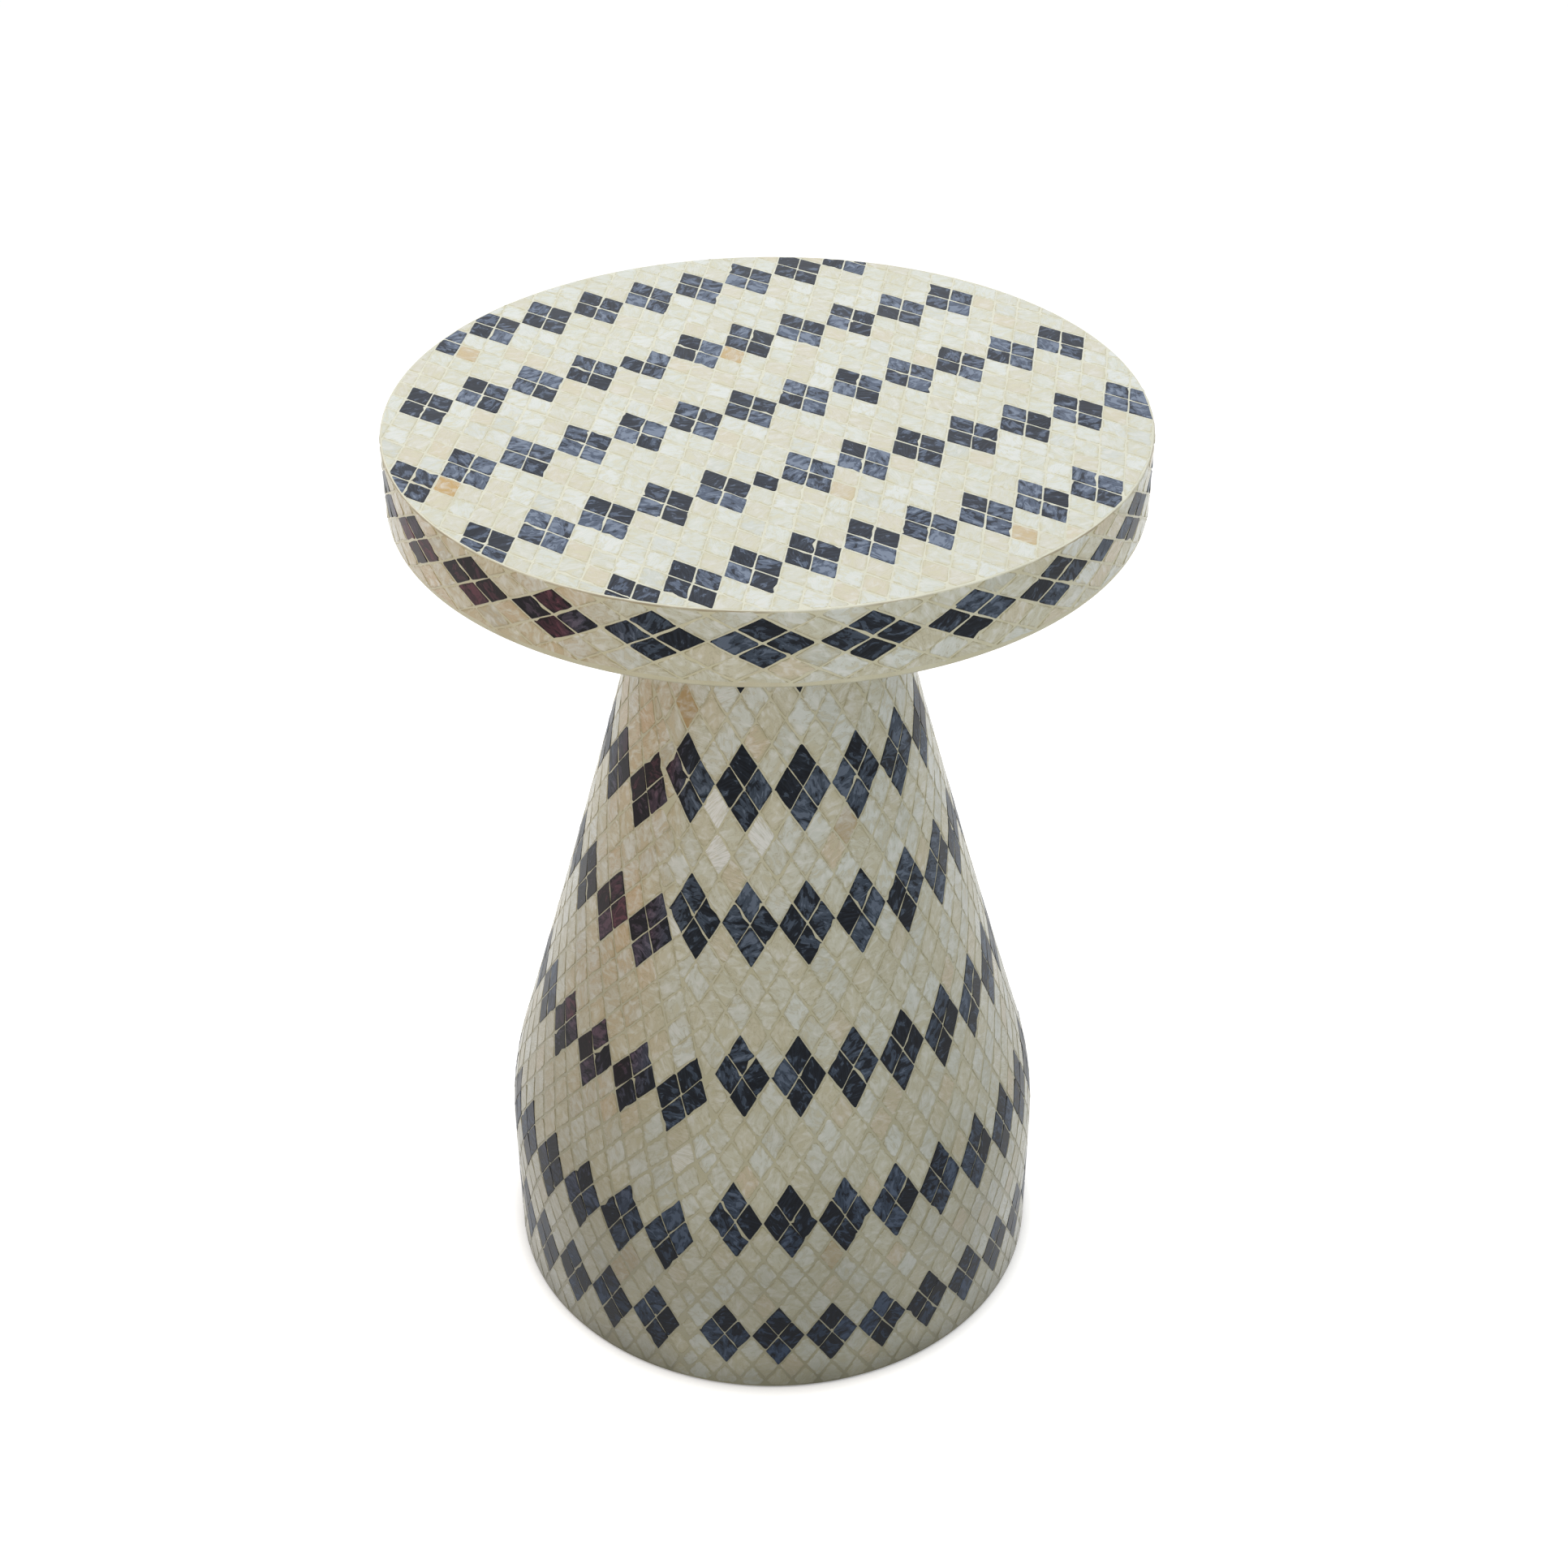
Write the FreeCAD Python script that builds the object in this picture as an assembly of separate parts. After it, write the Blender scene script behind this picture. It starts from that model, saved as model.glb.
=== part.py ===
import FreeCAD, Part
import math
import os
from collections import namedtuple

from FreeCAD import Vector

# A round side table: a thick top on a hollow pedestal, all covered with rhombic shell tiles.
# Millimetres. The origin is on the floor, under the middle of the table, with +Z up and -Y to the front.

# Driving dimensions of the table
TABLE_HEIGHT = 508.0
TOP_RADIUS = 180.0
TOP_THICKNESS = 38.0
DRUM_RADIUS = 145.0
DRUM_STRAIGHT = 79.0        # height of the upright part of the wall
SHOULDER_BEND = 182.0       # radius of the soft bend between drum and cone
CONE_LEAN = math.radians(16.2)      # how far the cone leans in, at its foot
CONE_HOLLOW = 8070.0        # radius of the cone's slight hollow, seen from the side
FLOOR_GAP = 1.5             # the pedestal stands this far off the floor, on its glides
WALL_OVERRUN = 6.0          # the wall's section runs on past the top's underside, to be cut off there

# Layers of the skin and of the walls
TILE_THICK = 1.0
BED_THICK = 1.2
SHELL_THICK = 6.0
TILE_BACK = TILE_THICK
BED_BACK = TILE_BACK + BED_THICK
SHELL_BACK = BED_BACK + SHELL_THICK

# Timber frame inside the pedestal
PLATE_THICK = 18.0
SHOULDER_RING_LOW = 97.5
SHOULDER_RING_HIGH = 112.5
RING_HOLE_RADIUS = 98.0
BOTTOM_BOARD_THICK = 9.0
BOTTOM_BOARD_PLAY = 0.4
RIB_THICK = 12.0
RIB_DEPTH = 24.0
POST_SIDE = 24.0
POST_RADIUS = 120.0

# Fasteners and glides
BOLT_CIRCLE_RADIUS = 24.0
BOLT_RADIUS = 3.0
BOLT_HOLE_RADIUS = 3.3
BOLT_REACH = 12.0           # how far a bolt goes up into the top
BOLT_HEAD_RADIUS = 5.25
BOLT_HEAD_HEIGHT = 3.3
HEX_SIDES = 6
HEX_KEY_RADIUS = 2.3
HEX_KEY_DEPTH = 2.0
WASHER_RADIUS = 9.0
WASHER_THICK = 1.6
INSERT_RADIUS = 5.0
INSERT_LENGTH = 14.0
SCREW_RADIUS = 2.0
SCREW_HEAD_RADIUS = 4.0
SCREW_HEAD_HEIGHT = 2.6
SCREW_POINT = 4.0
RIB_SCREW_LENGTH = 38.0
RIB_SCREW_LOW_RADIUS = 118.0
RIB_SCREW_HIGH_RADIUS = 34.0
POST_SCREW_LENGTH = 40.0
BOARD_SCREW_LENGTH = 20.0
BOARD_SCREW_CIRCLE = 118.0
BOARD_SCREW_COUNT = 8
GLIDE_RADIUS = 14.0
GLIDE_THICK = 4.5
GLIDE_CIRCLE = 114.0
GLIDE_SCREW_LENGTH = 15.0
GLIDE_SCREW_SINK = 1.0      # a glide's screw head lies this far inside its face
QUARTERS = (0, 90, 180, 270)
DIAGONALS = (45, 135, 225, 315)

# Tiles on the top: a slanting net of rhombs, in the plane of the top
TOP_EDGE_ACROSS = 13.1      # a rhomb's two edge lengths, and which way they run
TOP_EDGE_ALONG = 13.5
TOP_ANGLE_ACROSS = math.radians(-35.5)
TOP_ANGLE_ALONG = math.radians(81.5)
TOP_NET_START = (-7.6, 2.8)
TOP_FIELD_RADIUS = 179.4
TOP_NET_REACH = 20          # rhombs counted each way from the start
TOP_JOINT = 0.7
# Dark stripes on the top: net place of the diamond numbered 0, then the first and last number.
# From one diamond of a stripe to the next, the place moves on by two rhombs each way.
TOP_STRIPES = (
    ((-2, 10), -6, 2),
    ((-1, 5), -6, 4),
    ((0, 0), -6, 6),
    ((0, -6), -5, 0),
    ((1, -5), 1, 7),
    ((2, -10), -2, 6),
)
TOP_STRAY_DARK = (1, -5)    # one dark rhomb that bridges the break in the fourth stripe
TOP_MISSING_DARK = (-6, 1)  # one rhomb that stayed light in a diamond of the second stripe

# Tiles round the rim: rhombs lying on their side
RIM_COLUMNS = 49
RIM_HALF_HEIGHT = 6.4
RIM_ROW_DROP = 15.7         # the ring of diamonds lies this far below the top's face
RIM_ROWS = ((0, -1),)       # that ring's half-row, and a diamond's place along it
RIM_LOWEST_ROW = -3         # half-rows tried, counted from the ring of diamonds
RIM_HIGHEST_ROW = 3
RIM_BAND_HEIGHT = 2.4       # plain band of bedding below the tiles, rounded at its lower edge
RIM_BAND_ROUND = 1.4
RIM_EDGE_GAP = 0.2          # between the tiles and the band, and below the top's own tiles
RIM_CLOSING_ANGLE = math.radians(54.3)   # where the single closing rhomb sits
RIM_JOINT = 0.9

# Tiles on the pedestal: three sheets of upright rhombs, each a flat net laid round its own middle line
BODY_LOW = 2.0
BODY_JOINT = 1.0            # joints between light tiles, and the finer ones inside a dark diamond
DARK_JOINT = 0.55
SHEET_HALF_WIDTH = 7.12
SHEET_HALF_HEIGHT = 11.8
SHEET_ROW_RUN = 119.0       # run of the front sheet's second dark row
BASE_ROW_RUN = 40.0         # run of the lowest dark row, the same on every sheet
SHEET_LOWEST_ROW = -11      # half-rows tried, counted from the second dark row
SHEET_HIGHEST_ROW = 33
# Dark rows of a sheet above the lowest: half-rows above its second row, and a diamond's sideways place
SHEET_ROWS = ((0, -1), (7, 0), (14, 1), (20, 1), (26, 1))
# Each sheet: middle line, how far its second row hangs lower than the front one's, its sideways shift in
# half-widths, and its lowest dark row, given like those above
Sheet = namedtuple("Sheet", "middle_line drop shift lowest")
FRONT_SHEET = Sheet(math.radians(6.5), 0.0, 0, (-7, -2))
LEFT_SHEET = Sheet(math.radians(-82.0), 16.0, 2, (-5, -2))
BACK_SHEET = Sheet(math.radians(160.0), 8.0, 1, (-6, -1))
# Left seam of the front sheet: run up the wall, and sideways place from the sheet's middle line
FRONT_SEAM = (
    (0, -63), (119, -55), (160, -47), (205, -43), (245, -53),
    (285, -62), (375, -62), (405, -72), (500, -72),
)
RIGHT_SEAM = math.radians(100.0)
BACK_SEAM = math.radians(-140.0)
SEAM_STRIP_COLUMNS = 3      # half-columns tried past a seam
SEAM_STRIP = 2.5 * SHEET_HALF_WIDTH     # light tiles this near a seam are trimmed to fit
SMALLEST_TILE = 14.0        # square millimetres: smaller slivers are left to the grout
SMALLEST_OVERLAP = 0.5      # square millimetres: tiles that share less are not trimmed
FULL_TURN = 2 * math.pi

# Worked out from the above
TOP_LOW = TABLE_HEIGHT - TOP_THICKNESS
CORE_RADIUS = TOP_RADIUS - BED_BACK
CORE_HIGH = TABLE_HEIGHT - BED_BACK
CORE_MIDDLE = (TOP_LOW + CORE_HIGH) / 2
RIM_LOW = TOP_LOW + RIM_BAND_HEIGHT + RIM_EDGE_GAP
RIM_HIGH = TABLE_HEIGHT - TILE_THICK - RIM_EDGE_GAP
RIM_ROW_HEIGHT = TABLE_HEIGHT - RIM_ROW_DROP
SHOULDER_END = DRUM_STRAIGHT + SHOULDER_BEND * CONE_LEAN
SHOULDER_SPLIT = (SHOULDER_RING_LOW + SHOULDER_RING_HIGH) / 2
NECK_LOW = TOP_LOW - PLATE_THICK
BASE_RING_LOW = FLOOR_GAP + BOTTOM_BOARD_THICK
BASE_RING_HIGH = BASE_RING_LOW + PLATE_THICK
WALL_INNER_RADIUS = DRUM_RADIUS - SHELL_BACK


def wall_point(run, depth=0.0):
    """Radius and height of the pedestal's wall, a run up from the floor and a depth inside its face."""
    if run <= DRUM_STRAIGHT:
        lean = 0.0
        radius = DRUM_RADIUS
        height = run
    else:
        lean = (min(run, SHOULDER_END) - DRUM_STRAIGHT) / SHOULDER_BEND
        radius = DRUM_RADIUS - SHOULDER_BEND * (1 - math.cos(lean))
        height = DRUM_STRAIGHT + SHOULDER_BEND * math.sin(lean)
    if run > SHOULDER_END:
        lean = CONE_LEAN - (run - SHOULDER_END) / CONE_HOLLOW
        radius += CONE_HOLLOW * (math.cos(CONE_LEAN) - math.cos(lean))
        height += CONE_HOLLOW * (math.sin(CONE_LEAN) - math.sin(lean))
    return radius - depth * math.cos(lean), height - depth * math.sin(lean)


def wall_top_run():
    """Run at which the wall reaches the underside of the top."""
    height = wall_point(SHOULDER_END)[1]
    lean = math.asin(math.sin(CONE_LEAN) - (TOP_LOW - height) / CONE_HOLLOW)
    return SHOULDER_END + (CONE_LEAN - lean) * CONE_HOLLOW


WALL_TOP_RUN = wall_top_run()
WALL_PAST_TOP = WALL_TOP_RUN + WALL_OVERRUN
BODY_HIGH = WALL_TOP_RUN - BODY_JOINT


def section_point(run, depth):
    """A point of the wall's section, in the XZ plane."""
    radius, height = wall_point(run, depth)
    return Vector(radius, 0, height)


def wall_edges(depth):
    """The wall's section at a depth, from the floor to just past its upper end: a line and two arcs."""
    edges = [Part.makeLine(section_point(0, depth), section_point(DRUM_STRAIGHT, depth))]
    for low, high in ((DRUM_STRAIGHT, SHOULDER_END), (SHOULDER_END, WALL_PAST_TOP)):
        middle = section_point((low + high) / 2, depth)
        edges.append(Part.Arc(section_point(low, depth), middle, section_point(high, depth)).toShape())
    return edges


def turn(edges):
    """Solid made by turning a closed section in the XZ plane round the table's axis."""
    wire = Part.Wire(Part.__sortEdges__(edges))
    return Part.Face(wire).revolve(Vector(0, 0, 0), Vector(0, 0, 1), 360)


def slab(low, high):
    """A disc wider than the pedestal, between two heights, used to cut things to length."""
    return Part.makeCylinder(TOP_RADIUS, high - low, Vector(0, 0, low))


def wall_layer(outer_depth, inner_depth, low, high):
    """One layer of the pedestal's wall, between two depths and two heights."""
    edges = wall_edges(outer_depth) + wall_edges(inner_depth)
    for run in (0, WALL_PAST_TOP):
        edges.append(Part.makeLine(section_point(run, outer_depth), section_point(run, inner_depth)))
    return turn(edges).common(slab(low, high))


def wall_filling(depth, low, high):
    """The solid that fills the pedestal inside a depth of its wall, between two heights."""
    foot = section_point(0, depth)
    head = section_point(WALL_PAST_TOP, depth)
    foot_axis = Vector(0, 0, foot.z)
    head_axis = Vector(0, 0, head.z)
    edges = wall_edges(depth)
    edges.append(Part.makeLine(head, head_axis))
    edges.append(Part.makeLine(head_axis, foot_axis))
    edges.append(Part.makeLine(foot_axis, foot))
    return turn(edges).common(slab(low, high))


def disc(radius, low, high):
    """A round board between two heights."""
    return Part.makeCylinder(radius, high - low, Vector(0, 0, low))


def round_places(radius, height, angles):
    """Points on a circle about the table's axis."""
    places = []
    for angle in angles:
        turned = math.radians(angle)
        places.append(Vector(radius * math.cos(turned), radius * math.sin(turned), height))
    return places


def screw(place, length, upwards=True):
    """A countersunk wood screw with a cross recess, its flat head at a place and its point up or down."""
    way = Vector(0, 0, 1 if upwards else -1)
    neck = place + way * SCREW_HEAD_HEIGHT
    shank_end = place + way * (length - SCREW_POINT)
    body = Part.makeCone(SCREW_HEAD_RADIUS, SCREW_RADIUS, SCREW_HEAD_HEIGHT, place, way)
    body = body.fuse(Part.makeCylinder(SCREW_RADIUS, length - SCREW_POINT - SCREW_HEAD_HEIGHT, neck, way))
    body = body.fuse(Part.makeCone(SCREW_RADIUS, 0, SCREW_POINT, shank_end, way))
    arm = SCREW_HEAD_RADIUS
    slot = SCREW_RADIUS / 2
    recess_middle = place + way * (SCREW_HEAD_HEIGHT / 4)
    for wide, deep in ((arm, slot), (slot, arm)):
        corner = recess_middle - Vector(wide / 2, deep / 2, SCREW_HEAD_HEIGHT / 4)
        body = body.cut(Part.makeBox(wide, deep, SCREW_HEAD_HEIGHT / 2, corner))
    return body.removeSplitter()


def screw_hole(place, length, upwards=True):
    """The countersunk hole that a screw fills, without the cross recess."""
    way = Vector(0, 0, 1 if upwards else -1)
    hole = Part.makeCone(SCREW_HEAD_RADIUS, SCREW_RADIUS, SCREW_HEAD_HEIGHT, place, way)
    hole = hole.fuse(Part.makeCylinder(SCREW_RADIUS, length - SCREW_POINT, place, way))
    return hole.fuse(Part.makeCone(SCREW_RADIUS, 0, SCREW_POINT, place + way * (length - SCREW_POINT), way))


def screws_and_holes(places, length, upwards=True):
    """Like screws at several places, and the holes that they fill."""
    screws = [screw(place, length, upwards) for place in places]
    holes = [screw_hole(place, length, upwards) for place in places]
    return screws, holes


def outline_area(outline):
    """Signed area of a flat outline, positive when it runs counter-clockwise."""
    total = 0.0
    for (x0, y0), (x1, y1) in zip(outline, outline[1:] + outline[:1]):
        total += (x0 * y1 - x1 * y0) / 2
    return total


def cut_back(outline, normal, limit):
    """What is left of a flat outline on the near side of a straight cut."""
    kept = []
    for start, end in zip(outline, outline[1:] + outline[:1]):
        over_start = start[0] * normal[0] + start[1] * normal[1] - limit
        over_end = end[0] * normal[0] + end[1] * normal[1] - limit
        if over_start <= 0:
            kept.append(start)
        if over_start * over_end < 0:
            share = over_start / (over_start - over_end)
            kept.append((start[0] + share * (end[0] - start[0]), start[1] + share * (end[1] - start[1])))
    return kept


def draw_in(outline, gap):
    """A convex counter-clockwise outline with every edge moved in by a gap."""
    inner = outline
    for start, end in zip(outline, outline[1:] + outline[:1]):
        length = math.hypot(end[0] - start[0], end[1] - start[1])
        normal = ((end[1] - start[1]) / length, (start[0] - end[0]) / length)
        inner = cut_back(inner, normal, start[0] * normal[0] + start[1] * normal[1] - gap)
    return inner


def finished_tile(outline, joint, cuts=()):
    """A net cell cut at the edges of its field and drawn in by half a joint, or None for a sliver."""
    for normal, limit in cuts:
        outline = cut_back(outline, normal, limit)
    if outline_area(outline) < SMALLEST_TILE:
        return None
    outline = draw_in(outline, joint / 2)
    if outline_area(outline) < SMALLEST_TILE:
        return None
    return outline


def middle_of(outline):
    """Mean of an outline's corners."""
    count = len(outline)
    return sum(x for x, y in outline) / count, sum(y for x, y in outline) / count


def rhomb(across, up, half_width, half_height):
    """An upright rhomb about a point, counter-clockwise."""
    left = (across - half_width, up)
    right = (across + half_width, up)
    return [right, (across, up + half_height), left, (across, up - half_height)]


def is_tile(column, row, dark_rows):
    """Half-columns and half-rows count corners and tiles alike: every second place is a tile."""
    dark_row, dark_column = dark_rows[0]
    return (column - dark_column + row - dark_row) % 2 == 1


def diamond_of(column, row, dark_rows):
    """Row and middle column of the dark diamond that a tile is in, or None for a light tile.

    A diamond has a tile to each side of its middle, in the dark row, and one above and one below."""
    for dark_row, dark_column in dark_rows:
        step = (column - dark_column) % 4
        if row == dark_row:
            return dark_row, column - step + (4 if step == 3 else 0)
        if abs(row - dark_row) == 1 and step == 0:
            return dark_row, column
    return None


def top_dark_places():
    """Net places of the dark tiles on the top."""
    dark = {TOP_STRAY_DARK}
    for (across, along), first, last in TOP_STRIPES:
        for number in range(first, last + 1):
            for side in (-1, 0):
                for end in (-1, 0):
                    dark.add((across + 2 * number + side, along + 2 * number + end))
    dark.discard(TOP_MISSING_DARK)
    return dark


def top_corner(across, along):
    """A corner of the top's net, in the plane of the top."""
    x, y = TOP_NET_START
    for steps, edge, angle in (
        (across, TOP_EDGE_ACROSS, TOP_ANGLE_ACROSS),
        (along, TOP_EDGE_ALONG, TOP_ANGLE_ALONG),
    ):
        x += steps * edge * math.cos(angle)
        y += steps * edge * math.sin(angle)
    return x, y


def top_tiles():
    """Light and dark tiles of the top face, those at its edge sawn off along the edge."""
    tiles = {False: [], True: []}
    dark = top_dark_places()
    back = TABLE_HEIGHT - TILE_THICK
    for across in range(-TOP_NET_REACH, TOP_NET_REACH):
        for along in range(-TOP_NET_REACH, TOP_NET_REACH):
            corners = ((across, along), (across + 1, along), (across + 1, along + 1), (across, along + 1))
            cell = [top_corner(*corner) for corner in corners]
            x, y = middle_of(cell)
            out = math.hypot(x, y)
            edge_cut = ((x / out, y / out), TOP_FIELD_RADIUS)
            outline = finished_tile(cell, TOP_JOINT, (edge_cut,))
            if outline:
                points = [Vector(px, py, back) for px, py in outline]
                face = Part.Face(Part.makePolygon(points + points[:1]))
                tiles[(across, along) in dark].append(face.extrude(Vector(0, 0, TILE_THICK)))
    return tiles


def flat_tile(points, middle, outwards):
    """A flat tile whose back touches a curved surface at a middle point and faces outwards there."""
    flat = [point - outwards * (point - middle).dot(outwards) for point in points]
    return Part.Face(Part.makePolygon(flat + flat[:1])).extrude(outwards * TILE_THICK)


def rim_point(across, height):
    """A point on the back of the rim's tiles, a distance round the rim from its closing rhomb."""
    angle = RIM_CLOSING_ANGLE + across / TOP_RADIUS
    radius = TOP_RADIUS - TILE_THICK
    return Vector(radius * math.sin(angle), -radius * math.cos(angle), height)


def rim_tiles():
    """Light and dark tiles round the rim. The ring of diamonds closes on a single dark rhomb."""
    tiles = {False: [], True: []}
    half_width = math.pi * TOP_RADIUS / RIM_COLUMNS
    for column in range(2 * RIM_COLUMNS):
        for row in range(RIM_LOWEST_ROW, RIM_HIGHEST_ROW + 1):
            if not is_tile(column, row, RIM_ROWS):
                continue
            height = RIM_ROW_HEIGHT + row * RIM_HALF_HEIGHT
            cell = rhomb(column * half_width, height, half_width, RIM_HALF_HEIGHT)
            outline = finished_tile(cell, RIM_JOINT, (((0, 1), RIM_HIGH), ((0, -1), -RIM_LOW)))
            if not outline:
                continue
            middle = rim_point(*middle_of(outline))
            outwards = Vector(middle.x, middle.y, 0).normalize()
            tile = flat_tile([rim_point(*corner) for corner in outline], middle, outwards)
            tiles[diamond_of(column, row, RIM_ROWS) is not None].append(tile)
    return tiles


def body_point(angle, run, depth=TILE_BACK):
    """A point on the back of the pedestal's tiles, an angle round the table and a run up the wall."""
    radius, height = wall_point(run, depth)
    return Vector(radius * math.sin(angle), -radius * math.cos(angle), height)


def body_tile(outline, spot):
    """A flat tile on the pedestal's wall, from an outline that is laid flat about a spot."""
    angle, run = spot
    corners = [body_point(angle + x / wall_point(run + y)[0], run + y) for x, y in outline]
    middle = body_point(angle, run)
    outwards = (body_point(angle, run, 0) - middle).normalize()
    return flat_tile(corners, middle, outwards)


def front_seam_angle(run):
    """Where the front sheet's left seam lies, as an angle round the table."""
    run = min(max(run, FRONT_SEAM[0][0]), FRONT_SEAM[-1][0])
    for (low, across_low), (high, across_high) in zip(FRONT_SEAM, FRONT_SEAM[1:]):
        if low <= run <= high:
            across = across_low + (across_high - across_low) * (run - low) / (high - low)
            return FRONT_SHEET.middle_line + across / wall_point(run)[0]


def sheet_run(row, sheet):
    """Run of a half-row of a sheet. Below the second dark row the half-rows fit the lowest one."""
    second_run = SHEET_ROW_RUN - sheet.drop
    if row >= 0:
        return second_run + row * SHEET_HALF_HEIGHT
    return second_run - (second_run - BASE_ROW_RUN) * row / sheet.lowest[0]


def sheet_corner(column, row, sheet):
    """A corner of a sheet's net, as an angle round the table and a run up the wall."""
    run = sheet_run(row, sheet)
    return sheet.middle_line + column * SHEET_HALF_WIDTH / wall_point(run)[0], run


# A cell of a sheet's net: its middle and corners as angles and runs, the diamond that it is in, and how far
# it lies past its sheet's nearer seam
Cell = namedtuple("Cell", "spot corners diamond past_seam")


def sheet_cells(sheet, left_seam, right_seam):
    """Cells of one sheet and of a strip past its seams, given as angles that depend on the run."""
    dark_rows = [(row, column + sheet.shift) for row, column in SHEET_ROWS + (sheet.lowest,)]
    cells = []
    for row in range(SHEET_LOWEST_ROW, SHEET_HIGHEST_ROW + 1):
        if sheet_run(row + 1, sheet) < BODY_LOW or sheet_run(row - 1, sheet) > BODY_HIGH:
            continue
        run = sheet_run(row, sheet)
        radius = wall_point(run)[0]
        left = left_seam(run)
        right = right_seam(run)
        first = math.floor((left - sheet.middle_line) * radius / SHEET_HALF_WIDTH) - SEAM_STRIP_COLUMNS
        last = math.ceil((right - sheet.middle_line) * radius / SHEET_HALF_WIDTH) + SEAM_STRIP_COLUMNS
        for column in range(first, last + 1):
            if not is_tile(column, row, dark_rows):
                continue
            spot = sheet_corner(column, row, sheet)
            places = ((column + 1, row), (column, row + 1), (column - 1, row), (column, row - 1))
            corners = [sheet_corner(*place, sheet) for place in places]
            past_seam = max(left - spot[0], spot[0] - right) * radius
            cells.append(Cell(spot, corners, diamond_of(column, row, dark_rows), past_seam))
    return cells


def laid_flat(corners, spot):
    """Corners given as angles and runs, laid flat about a spot."""
    return [((angle - spot[0]) * wall_point(run)[0], run - spot[1]) for angle, run in corners]


def in_way(spot, laid):
    """Outlines of laid tiles near a spot, flat about it."""
    angle, run = spot
    radius = wall_point(run)[0]
    for cell in laid:
        cell_angle, cell_run = cell.spot
        turn_on = round((angle - cell_angle) / FULL_TURN) * FULL_TURN
        apart = abs(cell_angle + turn_on - angle) * radius
        if apart < 2 * SHEET_HALF_WIDTH and abs(cell_run - run) < 2 * SHEET_HALF_HEIGHT:
            yield laid_flat([(across + turn_on, up) for across, up in cell.corners], spot)


def trimmed(outline, obstacle):
    """An outline cut straight along that edge of a tile in its way which leaves the most of it."""
    shared = outline
    choices = []
    for start, end in zip(obstacle, obstacle[1:] + obstacle[:1]):
        normal = (end[1] - start[1], start[0] - end[0])
        limit = start[0] * normal[0] + start[1] * normal[1]
        shared = cut_back(shared, normal, limit)
        choices.append(cut_back(outline, (-normal[0], -normal[1]), -limit))
    if outline_area(shared) < SMALLEST_OVERLAP:
        return outline
    return max(choices, key=outline_area)


def laid_by_others(laid, number):
    """Cells already laid by the sheets other than one."""
    return [cell for other, cells in enumerate(laid) for cell in cells if other != number]


def whole_diamonds(cells, others):
    """Dark cells of a sheet whose diamonds lie whole between its seams and clear of the other sheets."""
    broken = {None}
    for cell in cells:
        outline = laid_flat(cell.corners, cell.spot)
        clear = all(trimmed(outline, obstacle) is outline for obstacle in in_way(cell.spot, others))
        if cell.past_seam > 0 or not clear:
            broken.add(cell.diamond)
    return [cell for cell in cells if cell.diamond not in broken]


def body_tiles():
    """Light and dark tiles of the three sheets: whole diamonds first, then light tiles trimmed to fit."""
    tiles = {False: [], True: []}
    sheets = (
        sheet_cells(FRONT_SHEET, front_seam_angle, lambda run: RIGHT_SEAM),
        sheet_cells(BACK_SHEET, lambda run: RIGHT_SEAM, lambda run: BACK_SEAM + FULL_TURN),
        sheet_cells(LEFT_SHEET, lambda run: BACK_SEAM, front_seam_angle),
    )
    laid = [[] for sheet in sheets]

    def lay(number, cell, outline, dark):
        run = cell.spot[1]
        cuts = (((0, -1), run - BODY_LOW), ((0, 1), BODY_HIGH - run))
        outline = finished_tile(outline, DARK_JOINT if dark else BODY_JOINT, cuts)
        if outline:
            tiles[dark].append(body_tile(outline, cell.spot))
            laid[number].append(cell)

    for number, cells in enumerate(sheets):
        for cell in whole_diamonds(cells, laid_by_others(laid, number)):
            lay(number, cell, laid_flat(cell.corners, cell.spot), True)
    for number, cells in enumerate(sheets):
        others = laid_by_others(laid, number)
        own = {cell.spot for cell in laid[number]}
        reach = SEAM_STRIP if number else 0.0
        for cell in cells:
            if cell.spot in own or cell.past_seam > reach:
                continue
            outline = laid_flat(cell.corners, cell.spot)
            if cell.past_seam > -SEAM_STRIP:
                for obstacle in in_way(cell.spot, others):
                    outline = trimmed(outline, obstacle)
            lay(number, cell, outline, False)
    return tiles


def rim_bed():
    """Bedding round the rim, with a plain band below the tiles."""
    back = TOP_RADIUS - TILE_THICK
    band_high = TOP_LOW + RIM_BAND_HEIGHT
    bend = RIM_BAND_ROUND * (1 - math.sqrt(0.5))
    round_start = Vector(TOP_RADIUS - RIM_BAND_ROUND, 0, TOP_LOW)
    round_middle = Vector(TOP_RADIUS - bend, 0, TOP_LOW + bend)
    round_end = Vector(TOP_RADIUS, 0, TOP_LOW + RIM_BAND_ROUND)
    rest = [
        round_end,
        Vector(TOP_RADIUS, 0, band_high),
        Vector(back, 0, band_high),
        Vector(back, 0, TABLE_HEIGHT - TILE_THICK),
        Vector(CORE_RADIUS, 0, TABLE_HEIGHT - TILE_THICK),
        Vector(CORE_RADIUS, 0, TOP_LOW),
        round_start,
    ]
    edges = [Part.Arc(round_start, round_middle, round_end).toShape()]
    edges += [Part.makeLine(start, end) for start, end in zip(rest, rest[1:])]
    return turn(edges)


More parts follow.
